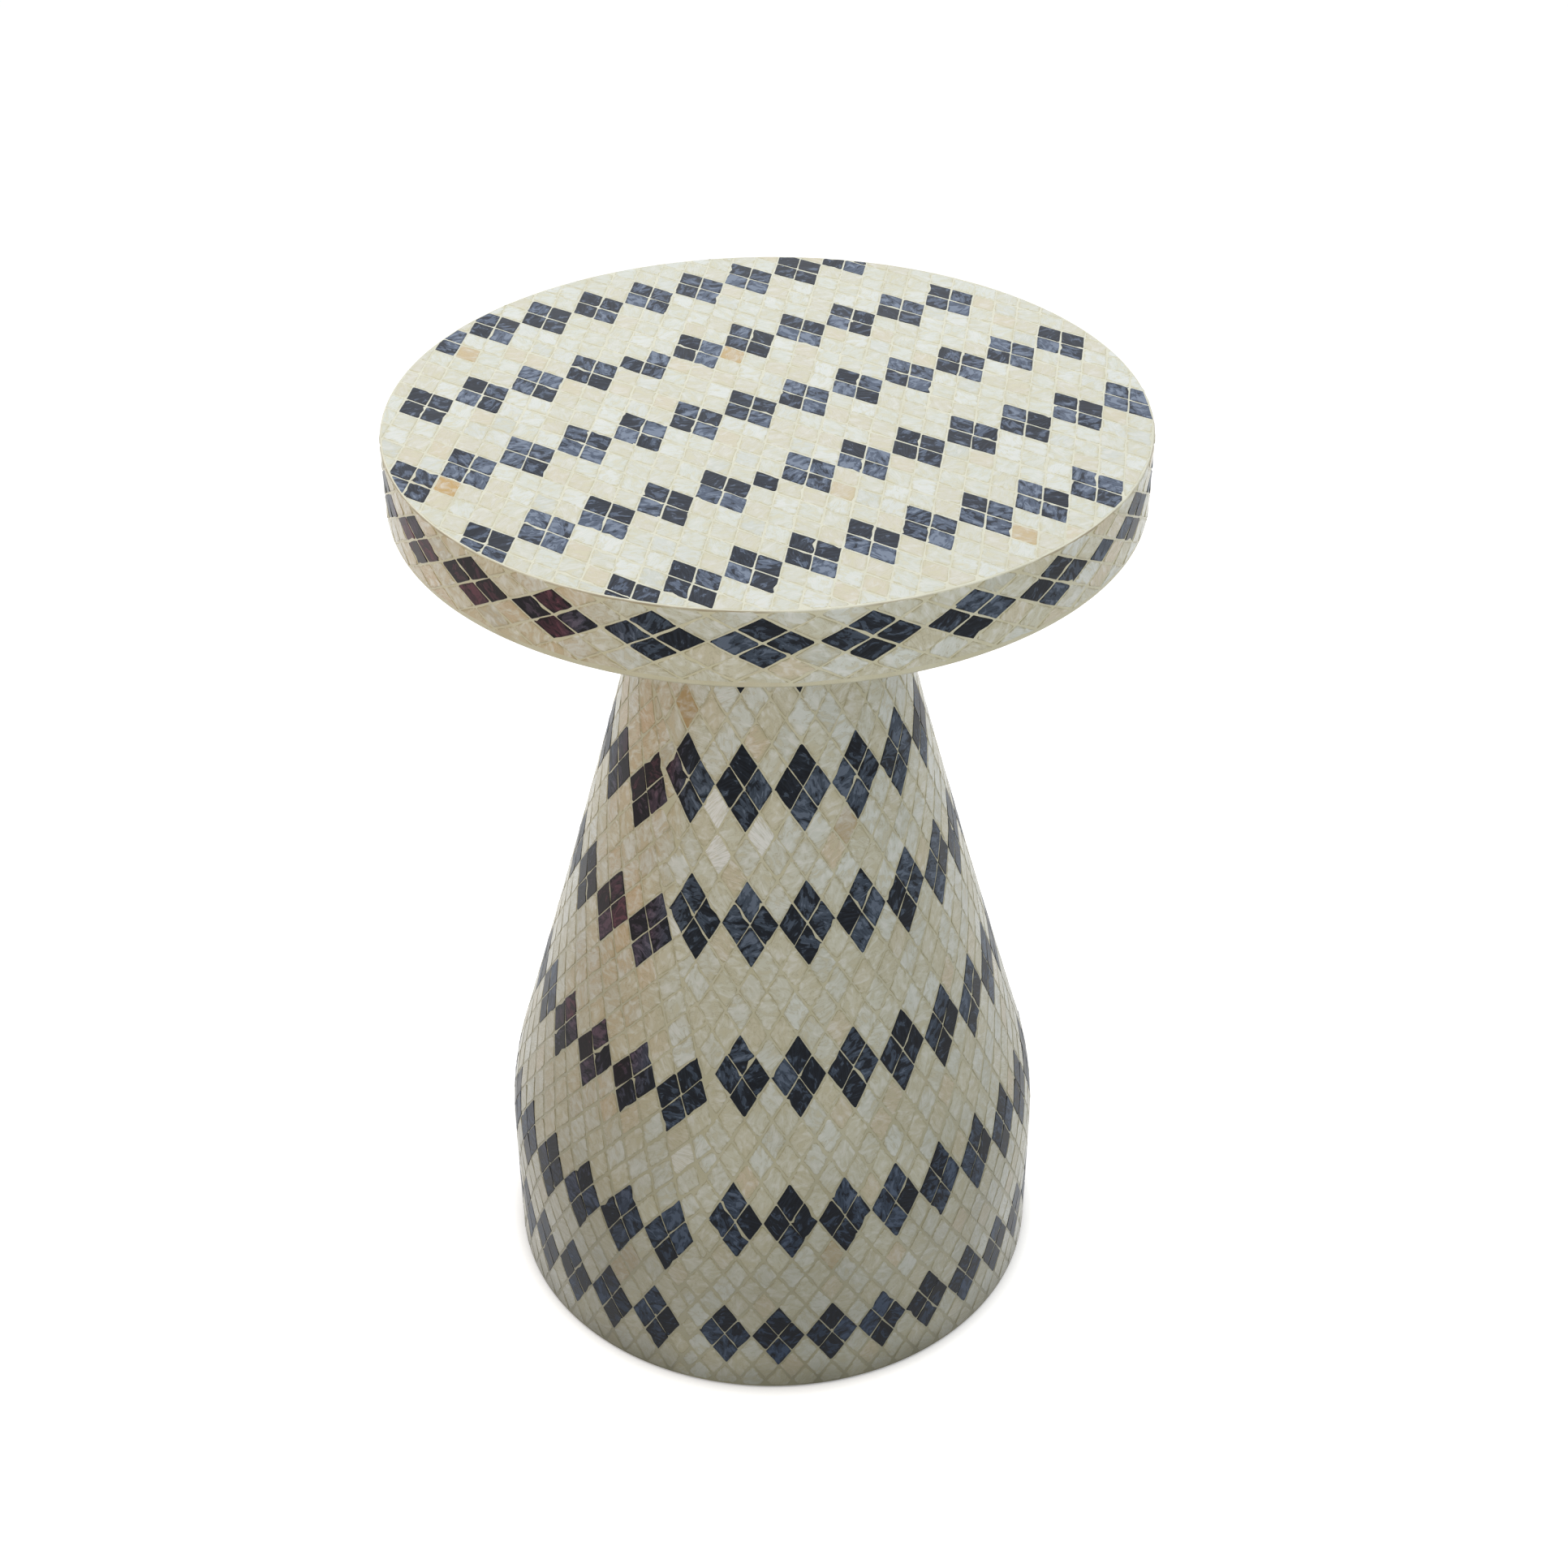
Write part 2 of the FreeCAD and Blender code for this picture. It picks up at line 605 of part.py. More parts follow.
def bolts(places):
    """Button-head bolts with a hexagon socket, up through the neck plate into the inserts."""
    made = []
    for place in places:
        shank_length = WASHER_THICK + PLATE_THICK + BOLT_REACH
        under_head = place - Vector(0, 0, WASHER_THICK)
        head_face = under_head - Vector(0, 0, BOLT_HEAD_HEIGHT)
        head = Part.makeCylinder(BOLT_HEAD_RADIUS, BOLT_HEAD_HEIGHT, head_face)
        head = head.makeFillet(BOLT_HEAD_HEIGHT / 2, [head.Edges[2]])
        corners = []
        for side in range(HEX_SIDES):
            angle = FULL_TURN * side / HEX_SIDES
            corners.append(head_face + Vector(math.cos(angle), math.sin(angle), 0) * HEX_KEY_RADIUS)
        socket = Part.Face(Part.makePolygon(corners + corners[:1])).extrude(Vector(0, 0, HEX_KEY_DEPTH))
        shank = Part.makeCylinder(BOLT_RADIUS, shank_length, under_head)
        made.append(head.cut(socket).fuse(shank).removeSplitter())
    return made


def washers(places):
    """Plain washers under the bolt heads."""
    made = []
    for place in places:
        low = place - Vector(0, 0, WASHER_THICK)
        ring = Part.makeCylinder(WASHER_RADIUS, WASHER_THICK, low)
        made.append(ring.cut(Part.makeCylinder(BOLT_HOLE_RADIUS, WASHER_THICK, low)))
    return made


def inserts(places):
    """Threaded inserts, pressed into the under board from below."""
    made = []
    for place in places:
        sleeve = Part.makeCylinder(INSERT_RADIUS, INSERT_LENGTH, place)
        made.append(sleeve.cut(Part.makeCylinder(BOLT_RADIUS, INSERT_LENGTH, place)))
    return made


def cone_ribs():
    """Four upright ribs that follow the inside of the cone."""
    layer = wall_layer(SHELL_BACK, SHELL_BACK + RIB_DEPTH, SHOULDER_RING_HIGH, NECK_LOW)
    ribs = []
    for angle in QUARTERS:
        blade = Part.makeBox(TOP_RADIUS, RIB_THICK, TABLE_HEIGHT, Vector(0, -RIB_THICK / 2, 0))
        blade.rotate(Vector(0, 0, 0), Vector(0, 0, 1), angle)
        ribs.append(layer.common(blade).Solids[0])
    return ribs


def drum_posts():
    """Four square posts between the base ring and the shoulder ring."""
    posts = []
    for angle in DIAGONALS:
        corner = Vector(POST_RADIUS - POST_SIDE / 2, -POST_SIDE / 2, BASE_RING_HIGH)
        post = Part.makeBox(POST_SIDE, POST_SIDE, SHOULDER_RING_LOW - BASE_RING_HIGH, corner)
        post.rotate(Vector(0, 0, 0), Vector(0, 0, 1), angle)
        posts.append(post)
    return posts


def glides(places):
    """Nylon pads let into the bottom board, with a softened lower edge."""
    made = []
    for place in places:
        pad = Part.makeCylinder(GLIDE_RADIUS, GLIDE_THICK, place)
        pad = pad.makeFillet(FLOOR_GAP / 2, [pad.Edges[2]])
        made.append(pad)
    return made


def cut_each(solids, holes):
    """Every solid of a group, with the holes taken out."""
    return [solid.cut(holes) for solid in solids]


def build():
    """All nodes of the table, by name."""
    bolt_places = round_places(BOLT_CIRCLE_RADIUS, NECK_LOW, DIAGONALS)
    bolt_holes = [Part.makeCylinder(BOLT_HOLE_RADIUS, PLATE_THICK, place) for place in bolt_places]
    insert_places = round_places(BOLT_CIRCLE_RADIUS, TOP_LOW, DIAGONALS)
    insert_holes = [Part.makeCylinder(INSERT_RADIUS, INSERT_LENGTH, place) for place in insert_places]

    low_rib_places = round_places(RIB_SCREW_LOW_RADIUS, SHOULDER_RING_LOW, QUARTERS)
    high_rib_places = round_places(RIB_SCREW_HIGH_RADIUS, TOP_LOW, QUARTERS)
    low_rib_screws, low_rib_holes = screws_and_holes(low_rib_places, RIB_SCREW_LENGTH)
    high_rib_screws, high_rib_holes = screws_and_holes(high_rib_places, RIB_SCREW_LENGTH, upwards=False)

    low_post_places = round_places(POST_RADIUS, BASE_RING_LOW, DIAGONALS)
    high_post_places = round_places(POST_RADIUS, SHOULDER_RING_HIGH, DIAGONALS)
    low_post_screws, low_post_holes = screws_and_holes(low_post_places, POST_SCREW_LENGTH)
    high_post_screws, high_post_holes = screws_and_holes(high_post_places, POST_SCREW_LENGTH, upwards=False)

    step = 360 / BOARD_SCREW_COUNT
    board_angles = [(number + 0.5) * step for number in range(BOARD_SCREW_COUNT)]
    board_places = round_places(BOARD_SCREW_CIRCLE, FLOOR_GAP, board_angles)
    board_screws, board_holes = screws_and_holes(board_places, BOARD_SCREW_LENGTH)

    glide_places = round_places(GLIDE_CIRCLE, 0, QUARTERS)
    glide_recesses = [Part.makeCylinder(GLIDE_RADIUS, GLIDE_THICK, place) for place in glide_places]
    glide_heads = round_places(GLIDE_CIRCLE, GLIDE_SCREW_SINK, QUARTERS)
    glide_screws, glide_holes = screws_and_holes(glide_heads, GLIDE_SCREW_LENGTH)
    head_wells = [Part.makeCylinder(SCREW_HEAD_RADIUS, GLIDE_SCREW_SINK, place) for place in glide_places]

    base_ring = disc(WALL_INNER_RADIUS, BASE_RING_LOW, BASE_RING_HIGH)
    base_ring = base_ring.cut(disc(RING_HOLE_RADIUS, BASE_RING_LOW, BASE_RING_HIGH))
    shoulder_ring = wall_filling(SHELL_BACK, SHOULDER_RING_LOW, SHOULDER_RING_HIGH)
    shoulder_ring = shoulder_ring.cut(disc(RING_HOLE_RADIUS, SHOULDER_RING_LOW, SHOULDER_RING_HIGH))
    bottom_board = disc(WALL_INNER_RADIUS - BOTTOM_BOARD_PLAY, FLOOR_GAP, BASE_RING_LOW)

    top = top_tiles()
    rim = rim_tiles()
    body = body_tiles()
    return {
        "top_upper_board": [disc(CORE_RADIUS, CORE_MIDDLE, CORE_HIGH)],
        "top_under_board": [disc(CORE_RADIUS, TOP_LOW, CORE_MIDDLE).cut(insert_holes)],
        "top_bed": [disc(CORE_RADIUS, CORE_HIGH, CORE_HIGH + BED_THICK)],
        "top_light_tiles": top[False],
        "top_dark_tiles": top[True],
        "rim_bed": [rim_bed()],
        "rim_light_tiles": rim[False],
        "rim_dark_tiles": rim[True],
        "neck_plate": [wall_filling(SHELL_BACK, NECK_LOW, TOP_LOW).cut(bolt_holes + high_rib_holes)],
        "cone_ribs": cut_each(cone_ribs(), low_rib_holes + high_rib_holes),
        "shoulder_ring": [shoulder_ring.cut(low_rib_holes + high_post_holes)],
        "drum_posts": cut_each(drum_posts(), low_post_holes + high_post_holes),
        "base_ring": [base_ring.cut(low_post_holes + board_holes + glide_holes)],
        "bottom_board": [bottom_board.cut(board_holes + glide_recesses + glide_holes)],
        "cone_shell": [wall_layer(BED_BACK, SHELL_BACK, SHOULDER_SPLIT, TOP_LOW)],
        "drum_shell": [wall_layer(BED_BACK, SHELL_BACK, FLOOR_GAP, SHOULDER_SPLIT)],
        "body_bed": [wall_layer(TILE_BACK, BED_BACK, FLOOR_GAP, TOP_LOW)],
        "body_light_tiles": body[False],
        "body_dark_tiles": body[True],
        "top_bolts": bolts(bolt_places),
        "bolt_washers": washers(bolt_places),
        "threaded_inserts": inserts(insert_places),
        "rib_screws": low_rib_screws + high_rib_screws,
        "post_screws": low_post_screws + high_post_screws,
        "bottom_board_screws": board_screws,
        "glides": cut_each(glides(glide_places), glide_holes + head_wells),
        "glide_screws": glide_screws,
    }


os.makedirs("parts", exist_ok=True)
for node, solids in build().items():
    shape = solids[0] if len(solids) == 1 else Part.makeCompound(solids)
    shape.exportStep(os.path.join("parts", node + ".step"))
    print(node, len(solids), "solids,", round(shape.Volume / 1000, 1), "cm3, valid:", shape.isValid())
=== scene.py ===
import math

import bpy
from mathutils import Matrix, Vector


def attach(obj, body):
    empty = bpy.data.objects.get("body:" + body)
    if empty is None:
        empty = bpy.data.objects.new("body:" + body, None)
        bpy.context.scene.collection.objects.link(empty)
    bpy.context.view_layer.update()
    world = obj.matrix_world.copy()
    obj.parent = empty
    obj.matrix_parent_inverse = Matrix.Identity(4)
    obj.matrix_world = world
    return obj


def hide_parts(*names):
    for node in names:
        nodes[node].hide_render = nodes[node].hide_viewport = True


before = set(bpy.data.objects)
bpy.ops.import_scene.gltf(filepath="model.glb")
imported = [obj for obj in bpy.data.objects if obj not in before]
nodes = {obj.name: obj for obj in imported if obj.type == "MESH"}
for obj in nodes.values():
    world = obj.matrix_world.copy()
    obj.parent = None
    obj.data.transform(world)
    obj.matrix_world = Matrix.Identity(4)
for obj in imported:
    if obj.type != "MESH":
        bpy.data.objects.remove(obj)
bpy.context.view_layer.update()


# Timber frame inside the pedestal: neck plate, ribs and two rings of plywood, and posts of pale softwood,
# with bent plywood shells round them. All are sawn and left bare, because the mosaic hides them.
mm = 0.001


def put(tree, kind, feeds=(), **settings):
    """Adds a node. Feeds are its inputs, in order or by name: sockets to link, or plain values."""
    node = tree.nodes.new(kind)
    for option, value in settings.items():
        setattr(node, option, value)
    for place, feed in feeds.items() if isinstance(feeds, dict) else enumerate(feeds):
        if isinstance(feed, bpy.types.NodeSocket):
            tree.links.new(feed, node.inputs[place])
        else:
            node.inputs[place].default_value = feed
    return node


def table_place(tree):
    """Where a point lies on the table."""
    return put(tree, "ShaderNodeTexCoord").outputs["Object"]


def noise(place, scale, detail=2.0, **more):
    """Cloudy marks between 0 and 1, the finer the larger the scale."""
    feeds = {"Vector": place, "Scale": scale, "Detail": detail, **more}
    return put(place.id_data, "ShaderNodeTexNoise", feeds).outputs["Fac"]


def spread(value, low, high, to_low=0.0, to_high=1.0):
    """Brings a value from one range to another, with soft ends."""
    feeds = [value, low, high, to_low, to_high]
    return put(value.id_data, "ShaderNodeMapRange", feeds, interpolation_type="SMOOTHSTEP").outputs[0]


def blend(share, under, over, way="MIX"):
    """One colour over another."""
    feeds = {0: share, 6: under, 7: over}
    return put(share.id_data, "ShaderNodeMix", feeds, data_type="RGBA", blend_type=way).outputs[2]


def srgb(*values):
    """A colour as the screen shows it, 0 to 255, in the linear values that a socket takes."""
    colour = []
    for value in values:
        share = value / 255
        colour.append(share / 12.92 if share <= 0.04045 else ((share + 0.055) / 1.055) ** 2.4)
    return colour + [1.0]


def ramp(value, stops):
    """A run of colours along a value from 0 to 1."""
    node = put(value.id_data, "ShaderNodeValToRGB", [value])
    elements = node.color_ramp.elements
    for place, colour in stops[1:-1]:
        elements.new(place).color = colour
    for element, (place, colour) in ((elements[0], stops[0]), (elements[-1], stops[-1])):
        element.position = place
        element.color = colour
    return node.outputs["Color"]


def new_finish(name, **plain):
    """A material, its node tree and its shader, with the sockets set that are the same all over."""
    material = bpy.data.materials.new(name)
    material.use_nodes = True
    tree = material.node_tree
    shader = tree.nodes["Principled BSDF"]
    for socket, value in plain.items():
        shader.inputs[socket.replace("_", " ")].default_value = value
    return material, tree, shader


def coat(shader, colour, rough, relief, depth):
    """Links a colour, a roughness and a relief from 0 to 1 that stands for a depth in metres."""
    feeds = {"Strength": 1.0, "Distance": depth, "Height": relief}
    normal = put(relief.id_data, "ShaderNodeBump", feeds).outputs[0]
    for socket, feed in (("Base Color", colour), ("Roughness", rough), ("Normal", normal)):
        feed.id_data.links.new(feed, shader.inputs[socket])


def dress(piece, material):
    """Gives a piece one finish all over."""
    piece.data.materials.clear()
    piece.data.materials.append(material)


def timber(name, pale, deep, stretch, grain):
    """Bare timber with grain drawn out along one axis, and fine pores."""
    material, tree, shader = new_finish(name)
    along = put(tree, "ShaderNodeMapping", {"Vector": table_place(tree), "Scale": stretch}).outputs[0]
    rings = noise(along, grain, 4.0, Distortion=0.8)
    pores = noise(along, grain * 9)
    colour = ramp(rings, [(0.32, deep), (0.5, pale), (0.7, deep)])
    colour = blend(spread(pores, 0.55, 0.75, 0.0, 0.35), colour, deep)
    coat(shader, colour, spread(rings, 0.3, 0.7, 0.55, 0.8), pores, 0.2 * mm)
    return material


softwood = timber("softwood", srgb(222, 190, 143), srgb(188, 148, 98), (1.0, 1.0, 0.06), 80.0)
plywood = timber("plywood", srgb(214, 184, 141), srgb(176, 140, 98), (0.15, 0.15, 4.0), 60.0)
dress(nodes["drum_posts"], softwood)
for node in ("neck_plate", "cone_ribs", "shoulder_ring", "base_ring", "cone_shell", "drum_shell"):
    dress(nodes[node], plywood)


# Core of the top: two round boards of brown fibreboard, glued face to face.
# The under board shows from below, so it is sealed with thin cream paint.
def fibreboard_finish(name, ground, speck, fibre):
    """Pressed wood fibre: a matt ground with specks and short fibres."""
    material, tree, shader = new_finish(name)
    place = table_place(tree)
    specks = noise(place, 900.0, 3.0)
    patches = noise(place, 22.0, 3.0)
    fibres = put(tree, "ShaderNodeTexVoronoi", {"Vector": place, "Scale": 420.0}).outputs["Distance"]
    colour = blend(spread(patches, 0.35, 0.7), ground, speck)
    colour = blend(spread(specks, 0.56, 0.7, 0.0, 0.6), colour, fibre)
    coat(shader, colour, spread(specks, 0.3, 0.7, 0.6, 0.85), fibres, 0.15 * mm)
    return material


bare_board = fibreboard_finish("fibreboard", srgb(168, 134, 96), srgb(150, 117, 82), srgb(186, 156, 118))
painted_board = fibreboard_finish(
    "cream sealed board", srgb(206, 197, 172), srgb(196, 186, 160), srgb(216, 209, 188)
)
dress(nodes["top_upper_board"], bare_board)
dress(nodes["top_under_board"], painted_board)


# Bolts, washers, inserts and wood screws: zinc-plated steel, and brass sleeves let into the under board.
# Four bolts hold the top from inside the pedestal; the screws hold the frame, the bottom board and glides.
def plated_finish(name, pale, deep, smooth, rough):
    """Plated metal with cloudy plating and fine turning marks."""
    material, tree, shader = new_finish(name, Metallic=1.0)
    place = table_place(tree)
    clouds = noise(place, 260.0, 3.0)
    round_it = put(tree, "ShaderNodeMapping", {"Vector": place, "Scale": (1.0, 1.0, 12.0)}).outputs[0]
    turning_marks = noise(round_it, 500.0)
    colour = blend(spread(clouds, 0.35, 0.65), pale, deep)
    coat(shader, colour, spread(clouds, 0.3, 0.7, smooth, rough), turning_marks, 0.02 * mm)
    return material


zinc = plated_finish("zinc plated steel", srgb(206, 208, 206), srgb(176, 180, 178), 0.28, 0.45)
brass = plated_finish("insert brass", srgb(214, 178, 104), srgb(186, 148, 84), 0.3, 0.5)
for node in ("top_bolts", "bolt_washers", "rib_screws", "post_screws", "bottom_board_screws", "glide_screws"):
    dress(nodes[node], zinc)
dress(nodes["threaded_inserts"], brass)


# Bottom board: thin fibreboard painted black, screwed on under the base ring to close the pedestal.
# The paint is rolled on, so that it is slightly pebbled, and rubbed grey in places.
material, tree, shader = new_finish("black painted board")
pebble = noise(table_place(tree), 700.0)
rubbed = noise(table_place(tree), 30.0, 6.0)
colour = blend(spread(rubbed, 0.55, 0.75, 0.0, 0.6), srgb(27, 26, 26), srgb(58, 56, 53))
coat(shader, colour, spread(pebble, 0.3, 0.7, 0.45, 0.7), pebble, 0.12 * mm)
dress(nodes["bottom_board"], material)


# Glides: four round pads of dark nylon let into the bottom board, each with one screw through its middle.
# They carry the table, so their faces are dull and scuffed.
material, tree, shader = new_finish("glide nylon")
scuffs = noise(table_place(tree), 150.0, 5.0, Distortion=1.5)
scuffed = spread(scuffs, 0.48, 0.66)
colour = blend(scuffed, srgb(62, 61, 59), srgb(98, 96, 92))
coat(shader, colour, spread(scuffs, 0.3, 0.7, 0.4, 0.65), scuffed, 0.05 * mm)
dress(nodes["glides"], material)


# Grout: cream filler spread over the tiles and wiped off, so that it stands a hair below their faces.
# It closes every joint, rounds the edge of the top and leaves a plain band along the rim's lower edge.
table_height = 508 * mm
top_radius = 180 * mm
top_low = table_height - 38 * mm
drum_radius = 145 * mm
drum_straight = 79 * mm
shoulder_bend = 182 * mm
cone_lean = math.radians(16.2)
cone_hollow = 8070 * mm
shoulder_end = drum_straight + shoulder_bend * cone_lean
floor_gap = 1.5 * mm
skin_depth = 2.2 * mm
grout_sink = 0.14 * mm
full_turn = 2 * math.pi


def wall_point(run, depth=0.0):
    """Radius and height of the pedestal's wall, a run up from the floor and a depth inside its face."""
    if run <= drum_straight:
        lean = 0.0
        radius = drum_radius
        height = run
    else:
        lean = (min(run, shoulder_end) - drum_straight) / shoulder_bend
        radius = drum_radius - shoulder_bend * (1 - math.cos(lean))
        height = drum_straight + shoulder_bend * math.sin(lean)
    if run > shoulder_end:
        lean = cone_lean - (run - shoulder_end) / cone_hollow
        radius += cone_hollow * (math.cos(cone_lean) - math.cos(lean))
        height += cone_hollow * (math.sin(cone_lean) - math.sin(lean))
    return radius - depth * math.cos(lean), height - depth * math.sin(lean)


def wall_top_run():
    """Run at which the wall meets the underside of the top."""
    lean = math.asin(math.sin(cone_lean) - (top_low - wall_point(shoulder_end)[1]) / cone_hollow)
    return shoulder_end + (cone_lean - lean) * cone_hollow


def show(name, mesh):
    """Puts a finished mesh in the scene as a piece that rides with the table."""
    piece = bpy.data.objects.new(name, mesh)
    bpy.context.scene.collection.objects.link(piece)
    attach(piece, "root")
    return piece


def pairs(ring):
    """Each item of a closed ring, with the one after it."""
    return zip(ring, ring[1:] + ring[:1])


def turned(name, section, steps=256, sharp=math.radians(40)):
    """A closed section of radius and height, turned round the table's axis. A point on the axis is a pole."""
    corners = []
    rings = []
    for radius, height in section:
        if radius == 0:
            corners.append((0, 0, height))
            rings.append([len(corners) - 1] * steps)
            continue
        rings.append(list(range(len(corners), len(corners) + steps)))
        for step in range(steps):
            angle = full_turn * step / steps
            corners.append((radius * math.sin(angle), -radius * math.cos(angle), height))
    faces = []
    for lower, upper in pairs(rings):
        for step in range(steps):
            after = (step + 1) % steps
            face = list(dict.fromkeys((lower[step], lower[after], upper[after], upper[step])))
            if len(face) > 2:
                faces.append(face)
    mesh = bpy.data.meshes.new(name)
    mesh.from_pydata(corners, [], faces)
    mesh.shade_smooth()
    mesh.set_sharp_from_angle(angle=sharp)
    return show(name, mesh)


def quarter_round(radius, height, size, first_angle, steps=6):
    """Points of a quarter circle about a middle, from its first angle on."""
    angles = [math.radians(first_angle + 90 * step / steps) for step in range(steps + 1)]
    return [(radius + size * math.cos(angle), height + size * math.sin(angle)) for angle in angles]


def maths(operation, *feeds):
    """One step of arithmetic on values, of which one at least is a socket."""
    tree = next(feed.id_data for feed in feeds if isinstance(feed, bpy.types.NodeSocket))
    return put(tree, "ShaderNodeMath", feeds, operation=operation).outputs[0]


def times(product, *others):
    """Values multiplied, one after the other."""
    for other in others:
        product = maths("MULTIPLY", product, other)
    return product


def parts(vector):
    """The three values of a vector."""
    return put(vector.id_data, "ShaderNodeSeparateXYZ", [vector]).outputs


def new_group(name, kind, takes, gives):
    """An empty node group with named sockets, each of a given kind."""
    group = bpy.data.node_groups.new(name, kind)
    for way, sockets in (("INPUT", takes), ("OUTPUT", gives)):
        for socket, socket_kind in sockets.items():
            group.interface.new_socket(socket, in_out=way, socket_type="NodeSocket" + socket_kind)
    return group


def floor_dust_and_shade():
    """Darkening of a wall, the more the nearer to the floor: partly dust and scuffs, partly painted shade
    where less light reaches the lower wall.
    """
    takes = dict.fromkeys(("Reach", "Dust And Shade Amount", "Skirting"), "Float")
    group = new_group("floor dust and shade", "ShaderNodeTree", takes, {"Dust And Shade": "Float"})
    given = put(group, "NodeGroupInput").outputs
    place = table_place(group)
    height = parts(place)[2]
    dust_and_shade_amount = spread(height, 0.0, given["Reach"], given["Dust And Shade Amount"], 0.0)
    # Within the skirting band a stronger darkening: scuffs, and painted contact shade at the wall's foot.
    scuffed = spread(height, 0.0, given["Skirting"], 0.36, 0.0)
    patches = spread(noise(place, 16.0, 4.0), 0.3, 0.7, 0.8, 1.2)
    put(group, "NodeGroupOutput", [times(maths("ADD", dust_and_shade_amount, scuffed), patches)])
    return group


dust_and_shade_marks = floor_dust_and_shade()
dust_and_shade_colour = srgb(112, 110, 88)


def darkened_by_dust_and_shade(colour, dust_and_shade_amount, reach=0.45, dust_and_shade_tint=dust_and_shade_colour, way="MIX"):
    """A colour darkened near the floor by a share of dust and painted shade."""
    feeds = {"Reach": reach, "Dust And Shade Amount": dust_and_shade_amount, "Skirting": 25 * mm}
    dust_and_shade = put(colour.id_data, "ShaderNodeGroup", feeds, node_tree=dust_and_shade_marks)
    return blend(dust_and_shade.outputs["Dust And Shade"], colour, dust_and_shade_tint, way)


def grout_finish(name, ground, pale, stain):
    """Cream filler under the lacquer: cloudy, gritty, a little stained, and brown along the top's edge."""
    material, tree, shader = new_finish(
        name, Specular_IOR_Level=0.3, Coat_Weight=0.15, Coat_Roughness=0.12
    )
    place = table_place(tree)
    stains = noise(place, 24.0, 6.0)
    grit = noise(place, 1500.0)
    colour = blend(spread(noise(place, 60.0, 4.0), 0.35, 0.65), ground, pale)
    colour = blend(spread(stains, 0.58, 0.75, 0.0, 0.6), colour, stain)
    colour = blend(spread(grit, 0.45, 0.75, 0.0, 0.18), colour, stain)
    height = parts(place)[2]
    above = spread(height, table_height - 1.6 * mm, table_height - 0.9 * mm)
    below = spread(height, table_height - 0.5 * mm, table_height - 0.2 * mm, 1.0, 0.0)
    worn_edge = times(above, below, spread(stains, 0.4, 0.6, 0.1, 0.8))
    colour = blend(worn_edge, colour, srgb(150, 132, 100))
    # Lower down the pedestal the grout darkens towards the floor: partly dust, partly painted shade.
    colour = darkened_by_dust_and_shade(colour, 0.58)
    coat(shader, colour, spread(grit, 0.3, 0.7, 0.3, 0.5), grit, 0.04 * mm)
    return material


core_radius = top_radius - skin_depth
top_face = table_height - grout_sink
rim_face = top_radius - grout_sink
edge_round = 0.7 * mm
edge_low = top_face - edge_round
top_section = [(0.0, table_height - skin_depth), (core_radius, table_height - skin_depth)]
top_section += quarter_round(rim_face - edge_round, edge_low, edge_round, 0)
top_section.append((0.0, top_face))

band_round = 1.4 * mm
rim_section = [(core_radius, top_low)]
rim_section += quarter_round(rim_face - band_round, top_low + band_round, band_round, -90)
rim_section += [(rim_face, edge_low), (core_radius, edge_low)]

wall_run = wall_top_run()
run_steps = 72
steps_inside = 4
runs = [floor_gap + (wall_run - floor_gap) * step / run_steps for step in range(run_steps + 1)]
body_section = [wall_point(run, grout_sink) for run in runs]
body_section += [wall_point(run, skin_depth) for run in runs[::-steps_inside]]

grouts = {
    "top": (top_section, srgb(226, 226, 206), srgb(234, 234, 216), srgb(212, 207, 180)),
    "rim": (rim_section, srgb(212, 208, 178), srgb(219, 216, 190), srgb(190, 176, 140)),
    "body": (body_section, srgb(206, 202, 172), srgb(211, 208, 182), srgb(182, 170, 134)),
}
for part, (section, *colours) in grouts.items():
    grout = turned(part + "_grout", section)
    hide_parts(part + "_bed")
    dress(grout, grout_finish(part + " grout", *colours))


# Shell tiles: rhombs sawn from flat windowpane-like shell, ivory ones and dyed blue-black ones in diamonds of
# four. They are glued side by side on a net of rhombs, nibbled to fit and lacquered over with the grout.
def vectors(operation, *feeds):
    """One step of arithmetic on vectors, of which the first is a socket."""
    tree = feeds[0].id_data
    if operation == "SCALE":
        feeds = {0: feeds[0], "Scale": feeds[1]}
    node = put(tree, "ShaderNodeVectorMath", feeds, operation=operation)
    return node.outputs["Value" if operation in ("LENGTH", "DOT_PRODUCT") else "Vector"]


def swung(vector, angle):
    """A vector turned about the upright axis."""
    feeds = {"Vector": vector, "Angle": angle}
    return put(vector.id_data, "ShaderNodeVectorRotate", feeds, rotation_type="Z_AXIS").outputs[0]


